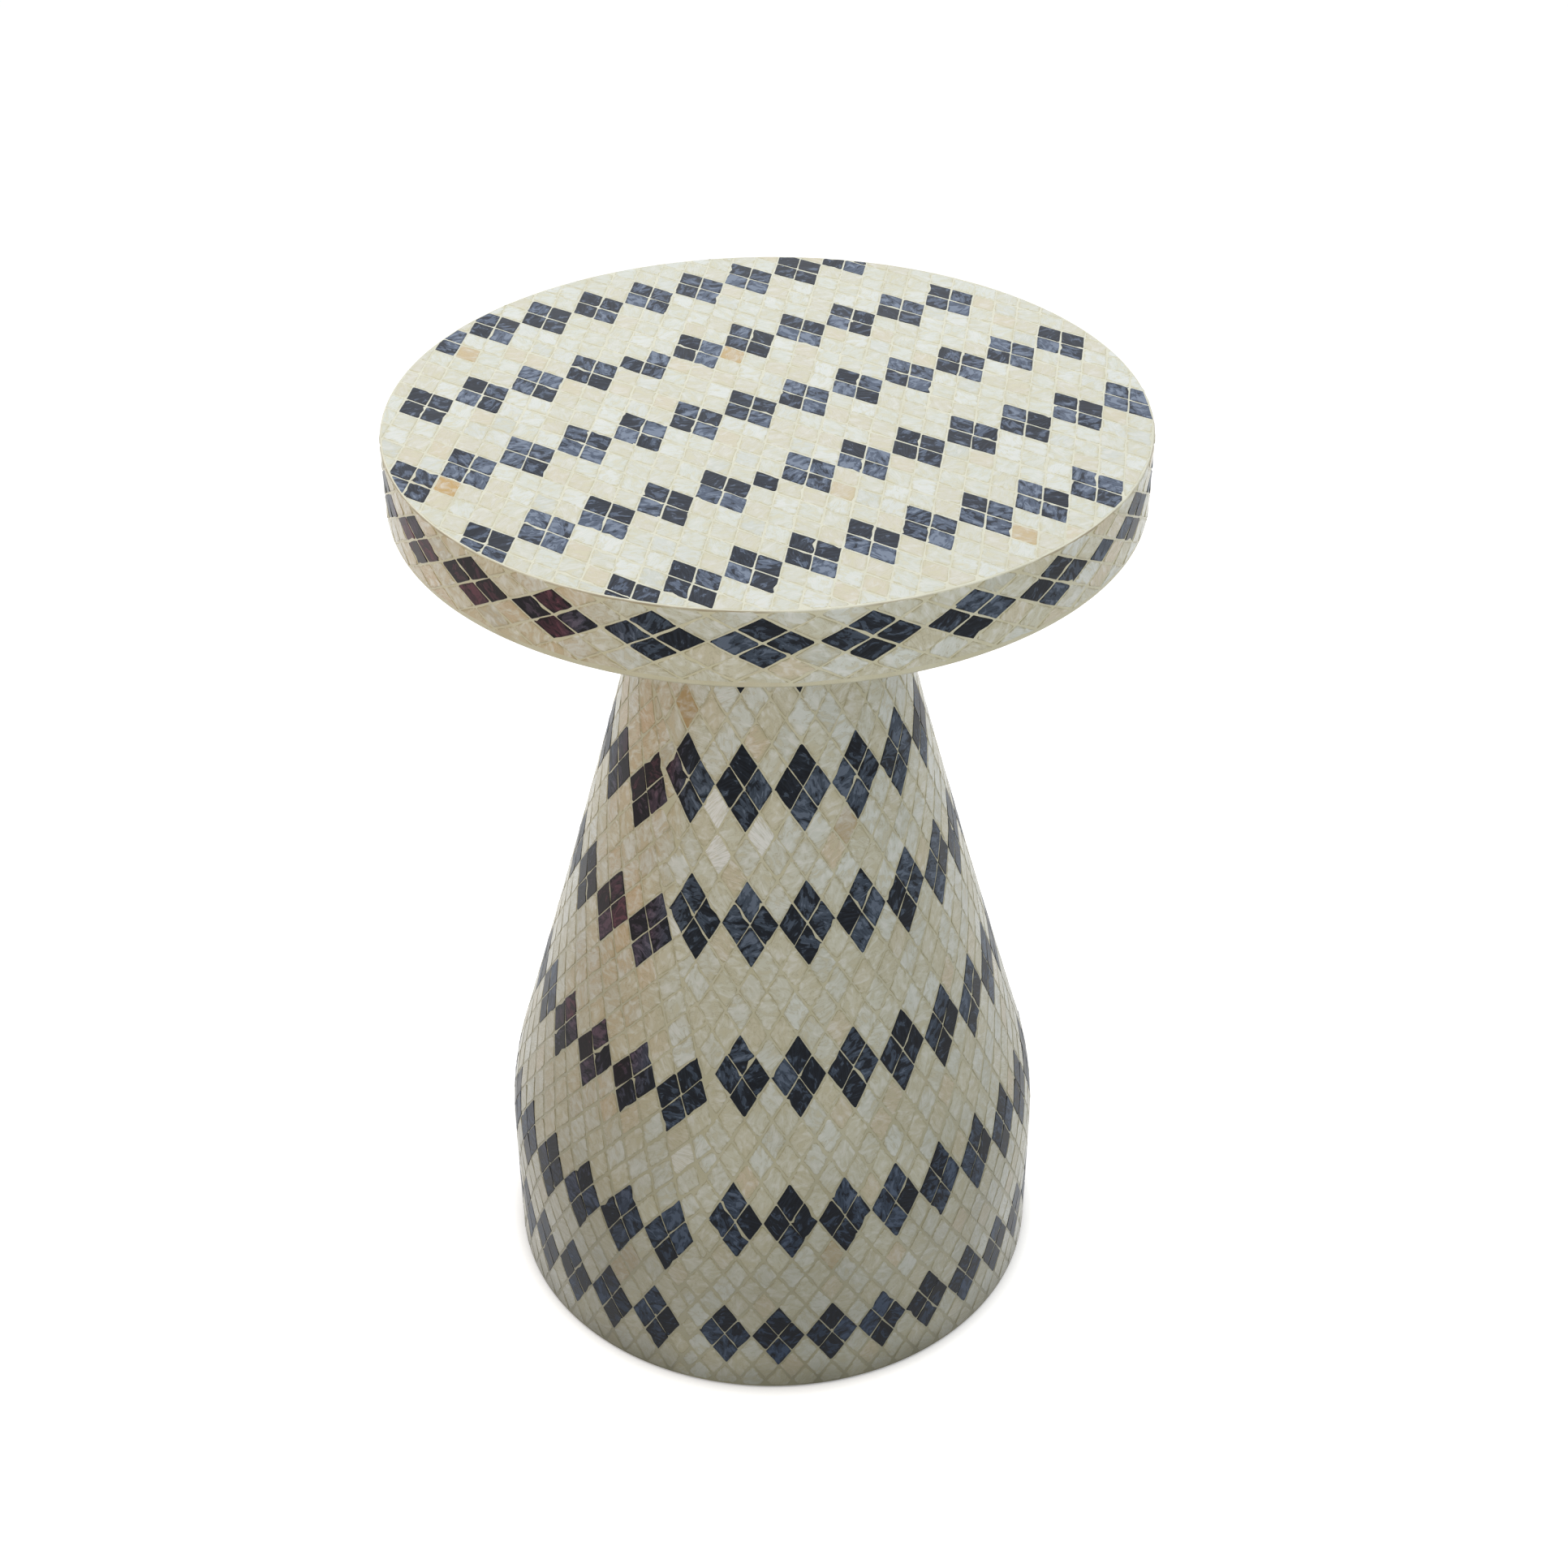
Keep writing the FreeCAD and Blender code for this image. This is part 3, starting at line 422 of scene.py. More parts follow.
def tile_tree():
    """Nodes that make one chipped, softened and laid tile out of each face of a flat net."""
    sizes = (
        "Net Radius", "Level", "Thickness", "Soft Edge", "Edge Width", "Corner Round", "Edge Wobble",
        "Nibble", "Nibble Share", "Shift", "Twist", "Tilt",
    )
    takes = {"Net": "Geometry", "Wall Line": "Object", "Wrap": "Bool", **dict.fromkeys(sizes, "Float")}
    takes.update({"Seed": "Int", "Finish": "Material"})
    tree = new_group("lay tiles", "GeometryNodeTree", takes, {"Tiles": "Geometry"})
    given = put(tree, "NodeGroupInput").outputs

    def geo(kind, feeds=(), **settings):
        """What a geometry node puts out first."""
        return put(tree, "GeometryNode" + kind, feeds, **settings).outputs[0]

    def xyz(x=0.0, y=0.0, z=0.0):
        return put(tree, "ShaderNodeCombineXYZ", [x, y, z]).outputs[0]

    def kept(name, kind="FLOAT_VECTOR"):
        """What the net says of a tile, read where it is needed."""
        return geo("InputNamedAttribute", [name], data_type=kind)

    def store(geometry, name, value, kind, domain="FACE"):
        """Writes a value on each face of a mesh, or on each corner."""
        feeds = {"Geometry": geometry, "Name": name, "Value": value}
        return geo("StoreNamedAttribute", feeds, data_type=kind, domain=domain)

    def chance(low, high, number, step):
        """A fixed random value for each number."""
        feeds = {2: low, 3: high, 7: number, 8: maths("ADD", given["Seed"], float(step))}
        return put(tree, "FunctionNodeRandomValue", feeds, data_type="FLOAT").outputs[1]

    def move(geometry, **where):
        """Moves points to a Position or by an Offset."""
        return geo("SetPosition", {"Geometry": geometry, **where})

    # Outline: each corner rounded by its own amount, edges wavering, and a point here and there nibbled in.
    cuts = 2
    index = geo("InputIndex")
    position = geo("InputPosition")
    outline = geo("MeshToCurve", {"Mesh": given["Net"]})
    outline = geo("SubdivideCurve", {"Curve": outline, "Cuts": cuts})
    corner = maths("LESS_THAN", maths("MODULO", index, cuts + 1.0), 0.5)
    rounding = times(corner, given["Corner Round"], chance(0.25, 1.6, index, 1))
    feeds = {"Curve": outline, "Count": 2, "Limit Radius": True, "Radius": rounding}
    outline = geo("FilletCurve", feeds, mode="POLY")
    feeds = {"Vector": position, "W": given["Seed"], "Scale": 150.0, "Detail": 3.0}
    waver = put(tree, "ShaderNodeTexNoise", feeds, noise_dimensions="4D").outputs["Color"]
    waver = vectors("MULTIPLY", vectors("SUBTRACT", waver, (0.5, 0.5, 0.5)), (2.0, 2.0, 0.0))
    waver = vectors("SCALE", waver, given["Edge Wobble"])
    inwards = vectors("NORMALIZE", vectors("SUBTRACT", kept("tile_middle"), position))
    nibbled = maths("LESS_THAN", chance(0.0, 1.0, index, 2), given["Nibble Share"])
    nibble = times(nibbled, chance(0.25, 1.0, index, 3), given["Nibble"])
    outline = move(outline, Offset=vectors("ADD", waver, vectors("SCALE", inwards, nibble)))
    flat = geo("FillCurve", {"Curve": outline, "Group ID": index}, mode="NGONS")

    # What the net says of its nearest face is carried over to the filled outline.
    nearest = geo("SampleNearest", {"Geometry": given["Net"]}, domain="FACE")
    carried = dict.fromkeys(("tile_middle", "edge_across", "edge_along"), "FLOAT_VECTOR")
    carried.update({"tile_number": "INT", "tile_tint": "FLOAT"})
    for name, kind in carried.items():
        feeds = {"Geometry": given["Net"], "Value": kept(name, kind), "Index": nearest}
        flat = store(flat, name, geo("SampleIndex", feeds, data_type=kind, domain="FACE"), kind)
    number = kept("tile_number", "INT")
    own = xyz(*[chance(0.0, 1.0, number, step) for step in (4, 5, 6)])
    flat = store(flat, "tile_random", own, "FLOAT_VECTOR")

    # Each tile is laid a little askew, then raised to its thickness with a softened upper edge.
    middle = kept("tile_middle")
    from_middle = vectors("SUBTRACT", position, middle)
    askew = swung(from_middle, times(given["Twist"], chance(-1.0, 1.0, number, 7)))
    astray = xyz(chance(-1.0, 1.0, number, 8), chance(-1.0, 1.0, number, 9))
    astray = vectors("SCALE", astray, given["Shift"])
    flat = move(flat, Position=vectors("ADD", middle, vectors("ADD", askew, astray)))
    tile_size = maths("SQRT", geo("InputMeshFaceArea"))
    draw_in = maths("DIVIDE", times(given["Edge Width"], 2.0), tile_size)
    draw_in = maths("SUBTRACT", 1.0, draw_in)
    side_height = maths("SUBTRACT", given["Thickness"], given["Soft Edge"])
    feeds = {"Mesh": flat, "Offset": (0.0, 0.0, 1.0), "Offset Scale": side_height, "Individual": True}
    sides = put(tree, "GeometryNodeExtrudeMesh", feeds, mode="FACES").outputs
    feeds.update({"Mesh": sides["Mesh"], "Selection": sides["Top"], "Offset Scale": given["Soft Edge"]})
    soft = put(tree, "GeometryNodeExtrudeMesh", feeds, mode="FACES").outputs
    feeds = {"Geometry": soft["Mesh"], "Selection": soft["Top"], "Scale": draw_in}
    upper = store(geo("ScaleElements", feeds, domain="FACE"), "tile_rim", soft["Side"], "FLOAT")
    joined = put(tree, "GeometryNodeJoinGeometry")
    for half in (geo("FlipFaces", {"Mesh": flat}), upper):
        tree.links.new(half, joined.inputs[0])
    tiles = geo("MergeByDistance", {"Geometry": joined.outputs[0], "Distance": 0.001 * mm})

    # Places on the tile for its finish: millimetres from its middle, and shares of its two edges.
    local = parts(from_middle)
    across = parts(kept("edge_across"))
    along = parts(kept("edge_along"))

    def crossed(first, second):
        """Area of the flat shape between two vectors."""
        return maths("SUBTRACT", times(first[0], second[1]), times(first[1], second[0]))

    whole = crossed(across, along)
    shares = [maths("DIVIDE", area, whole) for area in (crossed(local, along), crossed(across, local))]
    tiles = store(tiles, "tile_place", vectors("SCALE", from_middle, 1 / mm), "FLOAT2", "CORNER")
    tiles = store(tiles, "tile_net", xyz(*shares), "FLOAT2", "CORNER")

    # The tile tips slightly, and goes up to the top's level or round the wall, flat against its middle.
    tips = [times(given["Tilt"], chance(-1.0, 1.0, number, step)) for step in (10, 11)]
    rise = maths("ADD", times(local[0], tips[0]), times(local[1], tips[1]))
    height = maths("SUBTRACT", maths("ADD", local[2], rise), given["Thickness"])
    spot = parts(position)
    level = xyz(spot[0], spot[1], maths("ADD", height, given["Level"]))
    line = put(tree, "GeometryNodeObjectInfo", {"Object": given["Wall Line"]}).outputs["Geometry"]
    feeds = {"Curves": line, "Length": parts(middle)[1]}
    wall = put(tree, "GeometryNodeSampleCurve", feeds, mode="LENGTH", use_all_curves=True).outputs
    at_wall = parts(wall["Position"])
    way = parts(wall["Tangent"])

    def wall_part(start, up, out):
        """Start, plus the way up the tile along the wall, plus the height out of the wall."""
        return maths("MULTIPLY_ADD", height, out, maths("MULTIPLY_ADD", local[1], up, start))

    radius = wall_part(at_wall[0], way[0], way[2])
    upright = wall_part(at_wall[2], way[2], times(way[0], -1.0))
    facing = xyz(local[0], times(radius, -1.0), upright)
    around = maths("DIVIDE", parts(middle)[0], given["Net Radius"])
    feeds = {"Switch": given["Wrap"], "False": level, "True": swung(facing, around)}
    tiles = move(tiles, Position=geo("Switch", feeds, input_type="VECTOR"))
    for name in ("tile_middle", "edge_across", "edge_along", "tile_number"):
        tiles = geo("RemoveAttribute", {"Geometry": tiles, "Name": name})
    tiles = geo("RealizeInstances", {"Geometry": tiles})
    put(tree, "NodeGroupOutput", [geo("SetMaterial", {"Geometry": tiles, "Material": given["Finish"]})])
    return tree


laying = tile_tree()
laying_sockets = {item.name: item.identifier for item in laying.interface.items_tree}


def lay_tiles(name, net, settings):
    """A piece made of all the tiles of one net."""
    pattern = bpy.data.meshes.new(name + " net")
    corners = []
    faces = []
    for tile in net:
        faces.append(list(range(len(corners), len(corners) + len(tile["outline"]))))
        corners += [(x, y, 0.0) for x, y in tile["outline"]]
    pattern.from_pydata(corners, [], faces)
    for key in ("tile_middle", "edge_across", "edge_along"):
        values = [value for tile in net for value in (*tile[key], 0.0)]
        pattern.attributes.new(key, "FLOAT_VECTOR", "FACE").data.foreach_set("vector", values)
    tints = [tile["tile_tint"] for tile in net]
    pattern.attributes.new("tile_tint", "FLOAT", "FACE").data.foreach_set("value", tints)
    numbers = list(range(len(net)))
    pattern.attributes.new("tile_number", "INT", "FACE").data.foreach_set("value", numbers)
    sheet = bpy.data.objects.new(name + " sheet", pattern)
    bpy.context.scene.collection.objects.link(sheet)
    modifier = sheet.modifiers.new("lay tiles", "NODES")
    modifier.node_group = laying
    for socket, value in settings.items():
        modifier[laying_sockets[socket]] = value
    laid = sheet.evaluated_get(bpy.context.evaluated_depsgraph_get())
    mesh = bpy.data.meshes.new_from_object(laid)
    mesh.name = name
    sheet.modifiers.remove(modifier)
    bpy.data.objects.remove(sheet)
    bpy.data.meshes.remove(pattern)
    return show(name, mesh)


def lay_both(part, nets, where, ivory, black, seed, light_round=0.7 * mm):
    """The light and the dark tiles of one part of the table."""
    light = {**light_laying, "Corner Round": light_round, "Finish": ivory, "Seed": seed}
    dark = {**dark_laying, "Finish": black, "Seed": seed + 1}
    for shade, net, settings in (("light", nets[False], light), ("dark", nets[True], dark)):
        piece = lay_tiles(f"{part}_{shade}_shell", net, {**settings, **where})
        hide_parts(f"{part}_{shade}_tiles")


def cut_back(outline, normal, limit):
    """What is left of a flat outline on the near side of a straight cut."""
    left = []
    for start, end in pairs(outline):
        over_start = start[0] * normal[0] + start[1] * normal[1] - limit
        over_end = end[0] * normal[0] + end[1] * normal[1] - limit
        if over_start <= 0:
            left.append(start)
        if over_start * over_end < 0:
            share = over_start / (over_start - over_end)
            left.append((start[0] + share * (end[0] - start[0]), start[1] + share * (end[1] - start[1])))
    return left


def outline_area(outline):
    """Area of a counter-clockwise outline, nothing for a point or a line."""
    return sum(x0 * y1 - x1 * y0 for (x0, y0), (x1, y1) in pairs(outline)) / 2


def add_tile(net, spot, cell, outline, joint, cuts):
    """Adds a tile to a net, unless it is a sliver. Its cell and its outline are given about its spot.
    The outline is cut at the edges of the field and drawn in by half a joint."""
    smallest = 14 * mm * mm
    for normal, limit in cuts:
        outline = cut_back(outline, normal, limit)
    inner = outline
    for start, end in pairs(outline):
        length = math.dist(start, end)
        if length > 0:
            normal = ((end[1] - start[1]) / length, (start[0] - end[0]) / length)
            inner = cut_back(inner, normal, start[0] * normal[0] + start[1] * normal[1] - joint / 2)
    if outline_area(inner) < smallest:
        return False
    first, across, along = cell[0], cell[1], cell[3]
    tile = {
        "outline": [(x + spot[0], y + spot[1]) for x, y in inner],
        "tile_middle": spot,
        "edge_across": [across[axis] - first[axis] for axis in (0, 1)],
        "edge_along": [along[axis] - first[axis] for axis in (0, 1)],
        "tile_tint": 0.0,
    }
    net.append(tile)
    return True


def tint_nearest(net, spot, tint):
    """Marks the tile nearest to a spot: above 0 as a stained one, below 0 as one of white nacre whose bright
    ribs are partly painted glints.
    """
    nearest = min(net, key=lambda tile: math.dist(tile["tile_middle"], spot))
    nearest["tile_tint"] = tint


def tile_mark(tree, name, socket="Vector"):
    """What was written on a tile when it was laid."""
    return put(tree, "ShaderNodeAttribute", attribute_name=name).outputs[socket]


def shell_grain():
    """Marks that every shell tile has: fanned ribs, clouds, its edge, its own tone, lustre and slope."""
    takes = ("Rib Spacing", "Cloud Size", "Cloud Stretch", "Cloud Swirl", "Cloud Detail")
    gives = ("Ribs", "Clouds", "From Edge", "Rim", "Own Tone", "Own Lustre", "Own Slope", "Tint")
    group = new_group(
        "shell grain", "ShaderNodeTree", dict.fromkeys(takes, "Float"), dict.fromkeys(gives, "Float")
    )
    given = put(group, "NodeGroupInput").outputs
    fan_reach = 22.0
    tile_side = 13.4
    rib_stretch = 0.09
    ribs_apart, clouds_apart = 90.0, 70.0
    place = tile_mark(group, "tile_place")
    own = tile_mark(group, "tile_random")
    first, second, third = parts(own)
    turned_place = swung(place, times(first, full_turn))
    fan = vectors("ADD", turned_place, (fan_reach, 0.0, 0.0))
    fan_x, fan_y = parts(fan)[:2]
    around = times(maths("ARCTAN2", fan_y, fan_x), fan_reach)
    outwards = times(vectors("LENGTH", fan), rib_stretch)
    strands = put(group, "ShaderNodeCombineXYZ", [around, outwards, times(second, ribs_apart)])
    ribbed = vectors("SCALE", strands.outputs[0], maths("DIVIDE", 1.0, given["Rib Spacing"]))
    across = maths("DIVIDE", 1.0, given["Cloud Size"])
    along = maths("DIVIDE", across, given["Cloud Stretch"])
    cloud_scale = put(group, "ShaderNodeCombineXYZ", [along, across, 1.0]).outputs[0]
    clouded = vectors("MULTIPLY", turned_place, cloud_scale)
    clouded = vectors("ADD", clouded, vectors("SCALE", own, clouds_apart))
    clouding = {"Roughness": 0.58, "Distortion": given["Cloud Swirl"]}
    sides = [maths("ABSOLUTE", side) for side in parts(tile_mark(group, "tile_net"))[:2]]
    reach = maths("MAXIMUM", *sides)
    results = {
        "Ribs": noise(ribbed, 1.0, 3.0, Roughness=0.6, Distortion=0.35),
        "Clouds": noise(clouded, 1.0, given["Cloud Detail"], **clouding),
        "From Edge": times(maths("SUBTRACT", 0.5, reach), tile_side),
        "Rim": tile_mark(group, "tile_rim", "Fac"),
        "Own Tone": third,
        "Own Lustre": second,
        "Own Slope": vectors("DOT_PRODUCT", place, vectors("SUBTRACT", own, (0.5, 0.5, 0.5))),
        "Tint": tile_mark(group, "tile_tint", "Fac"),
    }
    put(group, "NodeGroupOutput", results)
    return group


def painted_warm_light_side():
    """Where warm light is painted on the walls: round the left of the table, less so near the floor."""
    group = new_group("painted warm light side", "ShaderNodeTree", {}, {"Painted Warm Light": "Float"})
    x, y, height = parts(table_place(group))
    angle = maths("ARCTAN2", x, times(y, -1.0))
    rim_shift = spread(height, 0.44, 0.47, 0.0, math.radians(11))
    starting = spread(angle, math.radians(-78), math.radians(-56))
    ending = maths("SUBTRACT", angle, rim_shift)
    ending = spread(ending, math.radians(-44), math.radians(-26), 1.0, 0.0)
    rising = spread(height, 0.06, 0.22)
    tone = spread(parts(tile_mark(group, "tile_random"))[1], 0.0, 0.9, 0.5, 1.0)
    put(group, "NodeGroupOutput", [times(starting, ending, rising, tone)])
    return group


grain = shell_grain()
painted_warm_light_marks = painted_warm_light_side()


def painted_warm_light(colour, share, tint):
    """A colour tinted by a share where warm light is painted on the walls."""
    marks = put(colour.id_data, "ShaderNodeGroup", node_tree=painted_warm_light_marks)
    painted_warm_light_share = times(marks.outputs["Painted Warm Light"], share)
    return blend(painted_warm_light_share, colour, tint, way="MULTIPLY")


def light_finish(name, on_wall, tones, warm, edge_stain, outline_stain, amber):
    """Ivory shell under lacquer: each tile its own tone, fanned ribs, warm clouds and stained edges."""
    material, tree, shader = new_finish(
        name, Specular_IOR_Level=0.3, Coat_Weight=0.2, Coat_Roughness=0.08
    )
    feeds = {
        "Rib Spacing": 0.7, "Cloud Size": 3.6, "Cloud Stretch": 1.6, "Cloud Swirl": 0.6, "Cloud Detail": 4.0,
    }
    marks = put(tree, "ShaderNodeGroup", feeds, node_tree=grain).outputs
    ribs = marks["Ribs"]
    clouds = marks["Clouds"]
    colour = ramp(marks["Own Tone"], tones)
    colour = blend(spread(marks["Own Slope"], 0.5, 3.5, 0.0, 0.35), colour, warm)
    colour = blend(spread(clouds, 0.48, 0.7, 0.0, 0.7), colour, warm)
    colour = blend(spread(clouds, 0.32, 0.5, 0.5, 0.0), colour, srgb(238, 239, 234))
    lustre = spread(marks["Own Lustre"], 0.2, 1.0, 0.25, 1.0)
    pale_ribs = times(lustre, spread(ribs, 0.5, 0.7, 0.0, 0.34))
    colour = blend(pale_ribs, colour, srgb(244, 244, 238))
    dull_ribs = times(lustre, spread(ribs, 0.3, 0.48, 0.4, 0.0))
    colour = blend(dull_ribs, colour, edge_stain)
    near_edge = spread(marks["From Edge"], 0.5, 2.2, 0.7, 0.0)
    near_edge = times(near_edge, spread(clouds, 0.36, 0.62))
    colour = blend(near_edge, colour, edge_stain)
    from_line = maths("ABSOLUTE", maths("SUBTRACT", clouds, 0.56))
    colour = blend(spread(from_line, 0.0, 0.018, 0.4, 0.0), colour, outline_stain)
    if on_wall:
        # Painted warm light on the left walls, tinting the ivory rosy.
        colour = painted_warm_light(colour, spread(clouds, 0.36, 0.6, 0.18, 0.6), srgb(252, 216, 176))
    outline = times(marks["Rim"], spread(clouds, 0.36, 0.62, 0.05, 0.6))
    colour = blend(outline, colour, outline_stain)
    # White nacre ribs on the marked tiles: partly the shell's own lustre, partly painted glints.
    pearl_white_and_painted_glints = times(marks["Tint"], spread(ribs, 0.36, 0.62, -0.25, -0.85))
    colour = blend(pearl_white_and_painted_glints, colour, srgb(250, 250, 246))
    stained = times(marks["Tint"], spread(clouds, 0.3, 0.6, 0.45, 1.0))
    colour = blend(stained, colour, amber)
    if on_wall:
        # The ivory darkens towards the floor: partly dust, partly painted shade.
        colour = darkened_by_dust_and_shade(colour, 0.44)
    relief = maths("MULTIPLY_ADD", marks["Own Slope"], 4.0, ribs)
    coat(shader, colour, spread(ribs, 0.3, 0.7, 0.42, 0.24), relief, 0.03 * mm)
    return material


def dark_finish(name, on_wall, gloss, deep, middle, pale):
    """Dyed shell under lacquer: blue-black, with ragged smudges of blue-grey and a few pale streaks."""
    material, tree, shader = new_finish(
        name, Specular_IOR_Level=gloss, Coat_Weight=gloss / 2, Coat_Roughness=0.08
    )
    feeds = {
        "Rib Spacing": 0.8, "Cloud Size": 3.8, "Cloud Stretch": 1.7, "Cloud Swirl": 0.7, "Cloud Detail": 7.0,
    }
    marks = put(tree, "ShaderNodeGroup", feeds, node_tree=grain).outputs
    ribs = marks["Ribs"]
    mottle = maths("ADD", marks["Clouds"], spread(marks["Own Tone"], 0.0, 1.0, -0.09, 0.12))
    mottle = maths("SUBTRACT", mottle, spread(marks["From Edge"], 0.4, 2.2, 0.08, 0.0))
    streaks = spread(ribs, 0.42, 0.72)
    colour = blend(times(streaks, 0.3), deep, middle)
    colour = blend(spread(mottle, 0.36, 0.56, 0.0, 0.22), colour, middle)
    patches = blend(times(streaks, 0.35), middle, pale)
    patches = blend(spread(ribs, 0.3, 0.46, 0.4, 0.0), patches, deep)
    colour = blend(spread(mottle, 0.48, 0.515), colour, patches)
    colour = blend(spread(mottle, 0.6, 0.66, 0.0, 0.7), colour, pale)
    if on_wall:
        # Painted warm light on the left walls, tinting the blue-black towards maroon.
        colour = painted_warm_light(colour, 1.2, srgb(255, 150, 150))
        # The blue-black darkens towards the floor: partly dust, partly painted shade.
        colour = darkened_by_dust_and_shade(colour, 0.8, 0.3, srgb(150, 166, 188), way="MULTIPLY")
    relief = maths("MULTIPLY_ADD", marks["Own Slope"], 2.5, ribs)
    coat(shader, colour, spread(mottle, 0.35, 0.65, 0.3, 0.42), relief, 0.025 * mm)
    return material


top_ivory = light_finish(
    "ivory shell of the top", False,
    [
        (0.0, srgb(222, 214, 190)), (0.1, srgb(222, 219, 202)), (0.3, srgb(221, 223, 210)),
        (0.6, srgb(223, 228, 219)), (0.88, srgb(231, 236, 232)), (1.0, srgb(212, 217, 209)),
    ],
    srgb(222, 219, 190), srgb(211, 207, 176), srgb(202, 197, 164), srgb(202, 168, 106),
)
wall_ivory = light_finish(
    "ivory shell of the walls", True,
    [
        (0.0, srgb(211, 198, 170)), (0.1, srgb(209, 205, 180)), (0.4, srgb(211, 211, 191)),
        (0.68, srgb(209, 211, 197)), (0.9, srgb(220, 225, 217)), (1.0, srgb(195, 197, 182)),
    ],
    srgb(200, 194, 162), srgb(181, 174, 140), srgb(156, 147, 112), srgb(180, 152, 104),
)
top_black = dark_finish(
    "blue-black shell of the top", False, 0.18, srgb(13, 23, 38), srgb(82, 95, 116), srgb(142, 155, 176)
)
wall_black = dark_finish(
    "blue-black shell of the walls", True, 0.1, srgb(15, 19, 26), srgb(61, 71, 84), srgb(108, 120, 137)
)
light_laying = {
    "Thickness": 1.0 * mm, "Soft Edge": 0.14 * mm, "Edge Width": 0.3 * mm, "Edge Wobble": 0.75 * mm,
    "Nibble": 1.0 * mm, "Nibble Share": 0.04, "Shift": 0.2 * mm, "Twist": math.radians(1.8), "Tilt": 0.006,
}
dark_laying = {
    **light_laying, "Corner Round": 0.6 * mm, "Edge Wobble": 0.55 * mm, "Nibble": 1.3 * mm,
    "Nibble Share": 0.06, "Shift": 0.12 * mm,
}


# Tiles of the top: one slanting net over the whole disc, those at the rim cut along the edge.
# Its dark diamonds lie in slanting stripes; the fourth stripe is broken and set over by one tile.
def top_nets():
    """Light and dark cells of the top."""
    edge_across = 13.1 * mm
    edge_along = 13.5 * mm
    angle_across = math.radians(-35.5)
    angle_along = math.radians(81.5)
    start_x, start_y = -7.6 * mm, 2.8 * mm
    field_radius = 179.2 * mm
    joint = 0.7 * mm
    reach = 20
    stripes = (
        ((-2, 10), -6, 2), ((-1, 5), -6, 4), ((0, 0), -6, 6),
        ((0, -6), -5, 0), ((1, -5), 1, 7), ((2, -10), -2, 6),
    )
    single_tile = (1, -5)
    left_light = (-6, 1)
    dark = {single_tile}
    for (place_across, place_along), first, last in stripes:
        for number in range(first, last + 1):
            for side in (-1, 0):
                for end in (-1, 0):
                    dark.add((place_across + 2 * number + side, place_along + 2 * number + end))
    dark.discard(left_light)

    def corner(across, along):
        across *= edge_across
        along *= edge_along
        x = start_x + across * math.cos(angle_across) + along * math.cos(angle_along)
        y = start_y + across * math.sin(angle_across) + along * math.sin(angle_along)
        return x, y

    nets = {False: [], True: []}
    for across in range(-reach, reach):
        for along in range(-reach, reach):
            x, y = corner(across + 0.5, along + 0.5)
            places = ((across, along), (across + 1, along), (across + 1, along + 1), (across, along + 1))
            corners = [corner(*place) for place in places]
            cell = [(corner_x - x, corner_y - y) for corner_x, corner_y in corners]
            out = math.hypot(x, y)
            cuts = [((x / out, y / out), field_radius - out)]
            add_tile(nets[(across, along) in dark], (x, y), cell, cell, joint, cuts)
    return nets


tiles = top_nets()
stains = (((-140, -71), 1.0), ((-22, 60), 0.8), ((-140, 67), 0.6), ((108, -119), 0.6), ((34, -83), 0.35))
for (x, y), tint in stains:
    tint_nearest(tiles[False], (x * mm, y * mm), tint)
lay_both("top", tiles, {"Wrap": False, "Level": table_height}, top_ivory, top_black, seed=11)


# Tiles of the rim: rhombs lying on their side round the edge of the top, with one ring of dark diamonds.
# The ring closes on a single dark rhomb. The tiles are cut off at the top's edge and at the plain band below.
def wall_line(name, points):
    """A line in the plane of radius and height that tiles are laid along."""
    curve = bpy.data.curves.new(name, "CURVE")
    curve.dimensions = "3D"
    spline = curve.splines.new("POLY")
    spline.points.add(len(points) - 1)
    for point, (radius, height) in zip(spline.points, points):
        point.co = (radius, 0.0, height, 1.0)
    line = bpy.data.objects.new(name, curve)
    bpy.context.scene.collection.objects.link(line)
    return line


def wall_cell(corners, spot, radius_at):
    """A cell of a wall's net, its corners given as angle and run, laid flat about its spot."""
    angle, run = spot
    return [((across - angle) * radius_at(up), up - run) for across, up in corners]


def places_round(column, row):
    """The corners of a rhomb on a wall's net: right, upper, left and lower."""
    return (column + 1, row), (column, row + 1), (column - 1, row), (column, row - 1)


def diamond_of(column, row, dark_rows):
    """Which dark diamond a tile is in. One has a tile to each side of its middle, one above and one below."""
    repeat = 4
    for dark_row, dark_column in dark_rows:
        step = (column - dark_column) % repeat
        if row == dark_row:
            return dark_row, column - step + (repeat if step == repeat - 1 else 0)
        if abs(row - dark_row) == 1 and step == 0:
            return dark_row, column
    return None


net_radius = 0.4


def rim_nets():
    """Light and dark cells of the rim."""
    columns = 49
    half_angle = math.pi / columns
    half_height = 6.4 * mm
    row_height = table_height - 15.7 * mm
    low = top_low + 2.6 * mm
    high = table_height - 0.5 * mm
    closing_angle = math.radians(54.3)
    joint = 0.9 * mm
    lowest_row, highest_row = -3, 3
    dark_rows = ((0, -1),)
    nets = {False: [], True: []}

    def corner(column, row):
        return closing_angle + column * half_angle, row_height + row * half_height

    for column in range(2 * columns):
        for row in range(lowest_row, highest_row + 1):
            if (column + 1 + row) % 2 == 0:
                continue
            angle, height = spot = corner(column, row)
            corners = [corner(*place) for place in places_round(column, row)]
            cell = wall_cell(corners, spot, lambda up: top_radius)
            cuts = [((0, 1), high - height), ((0, -1), height - low)]
            net = nets[diamond_of(column, row, dark_rows) is not None]
            add_tile(net, (angle * net_radius, height), cell, cell, joint, cuts)
    return nets


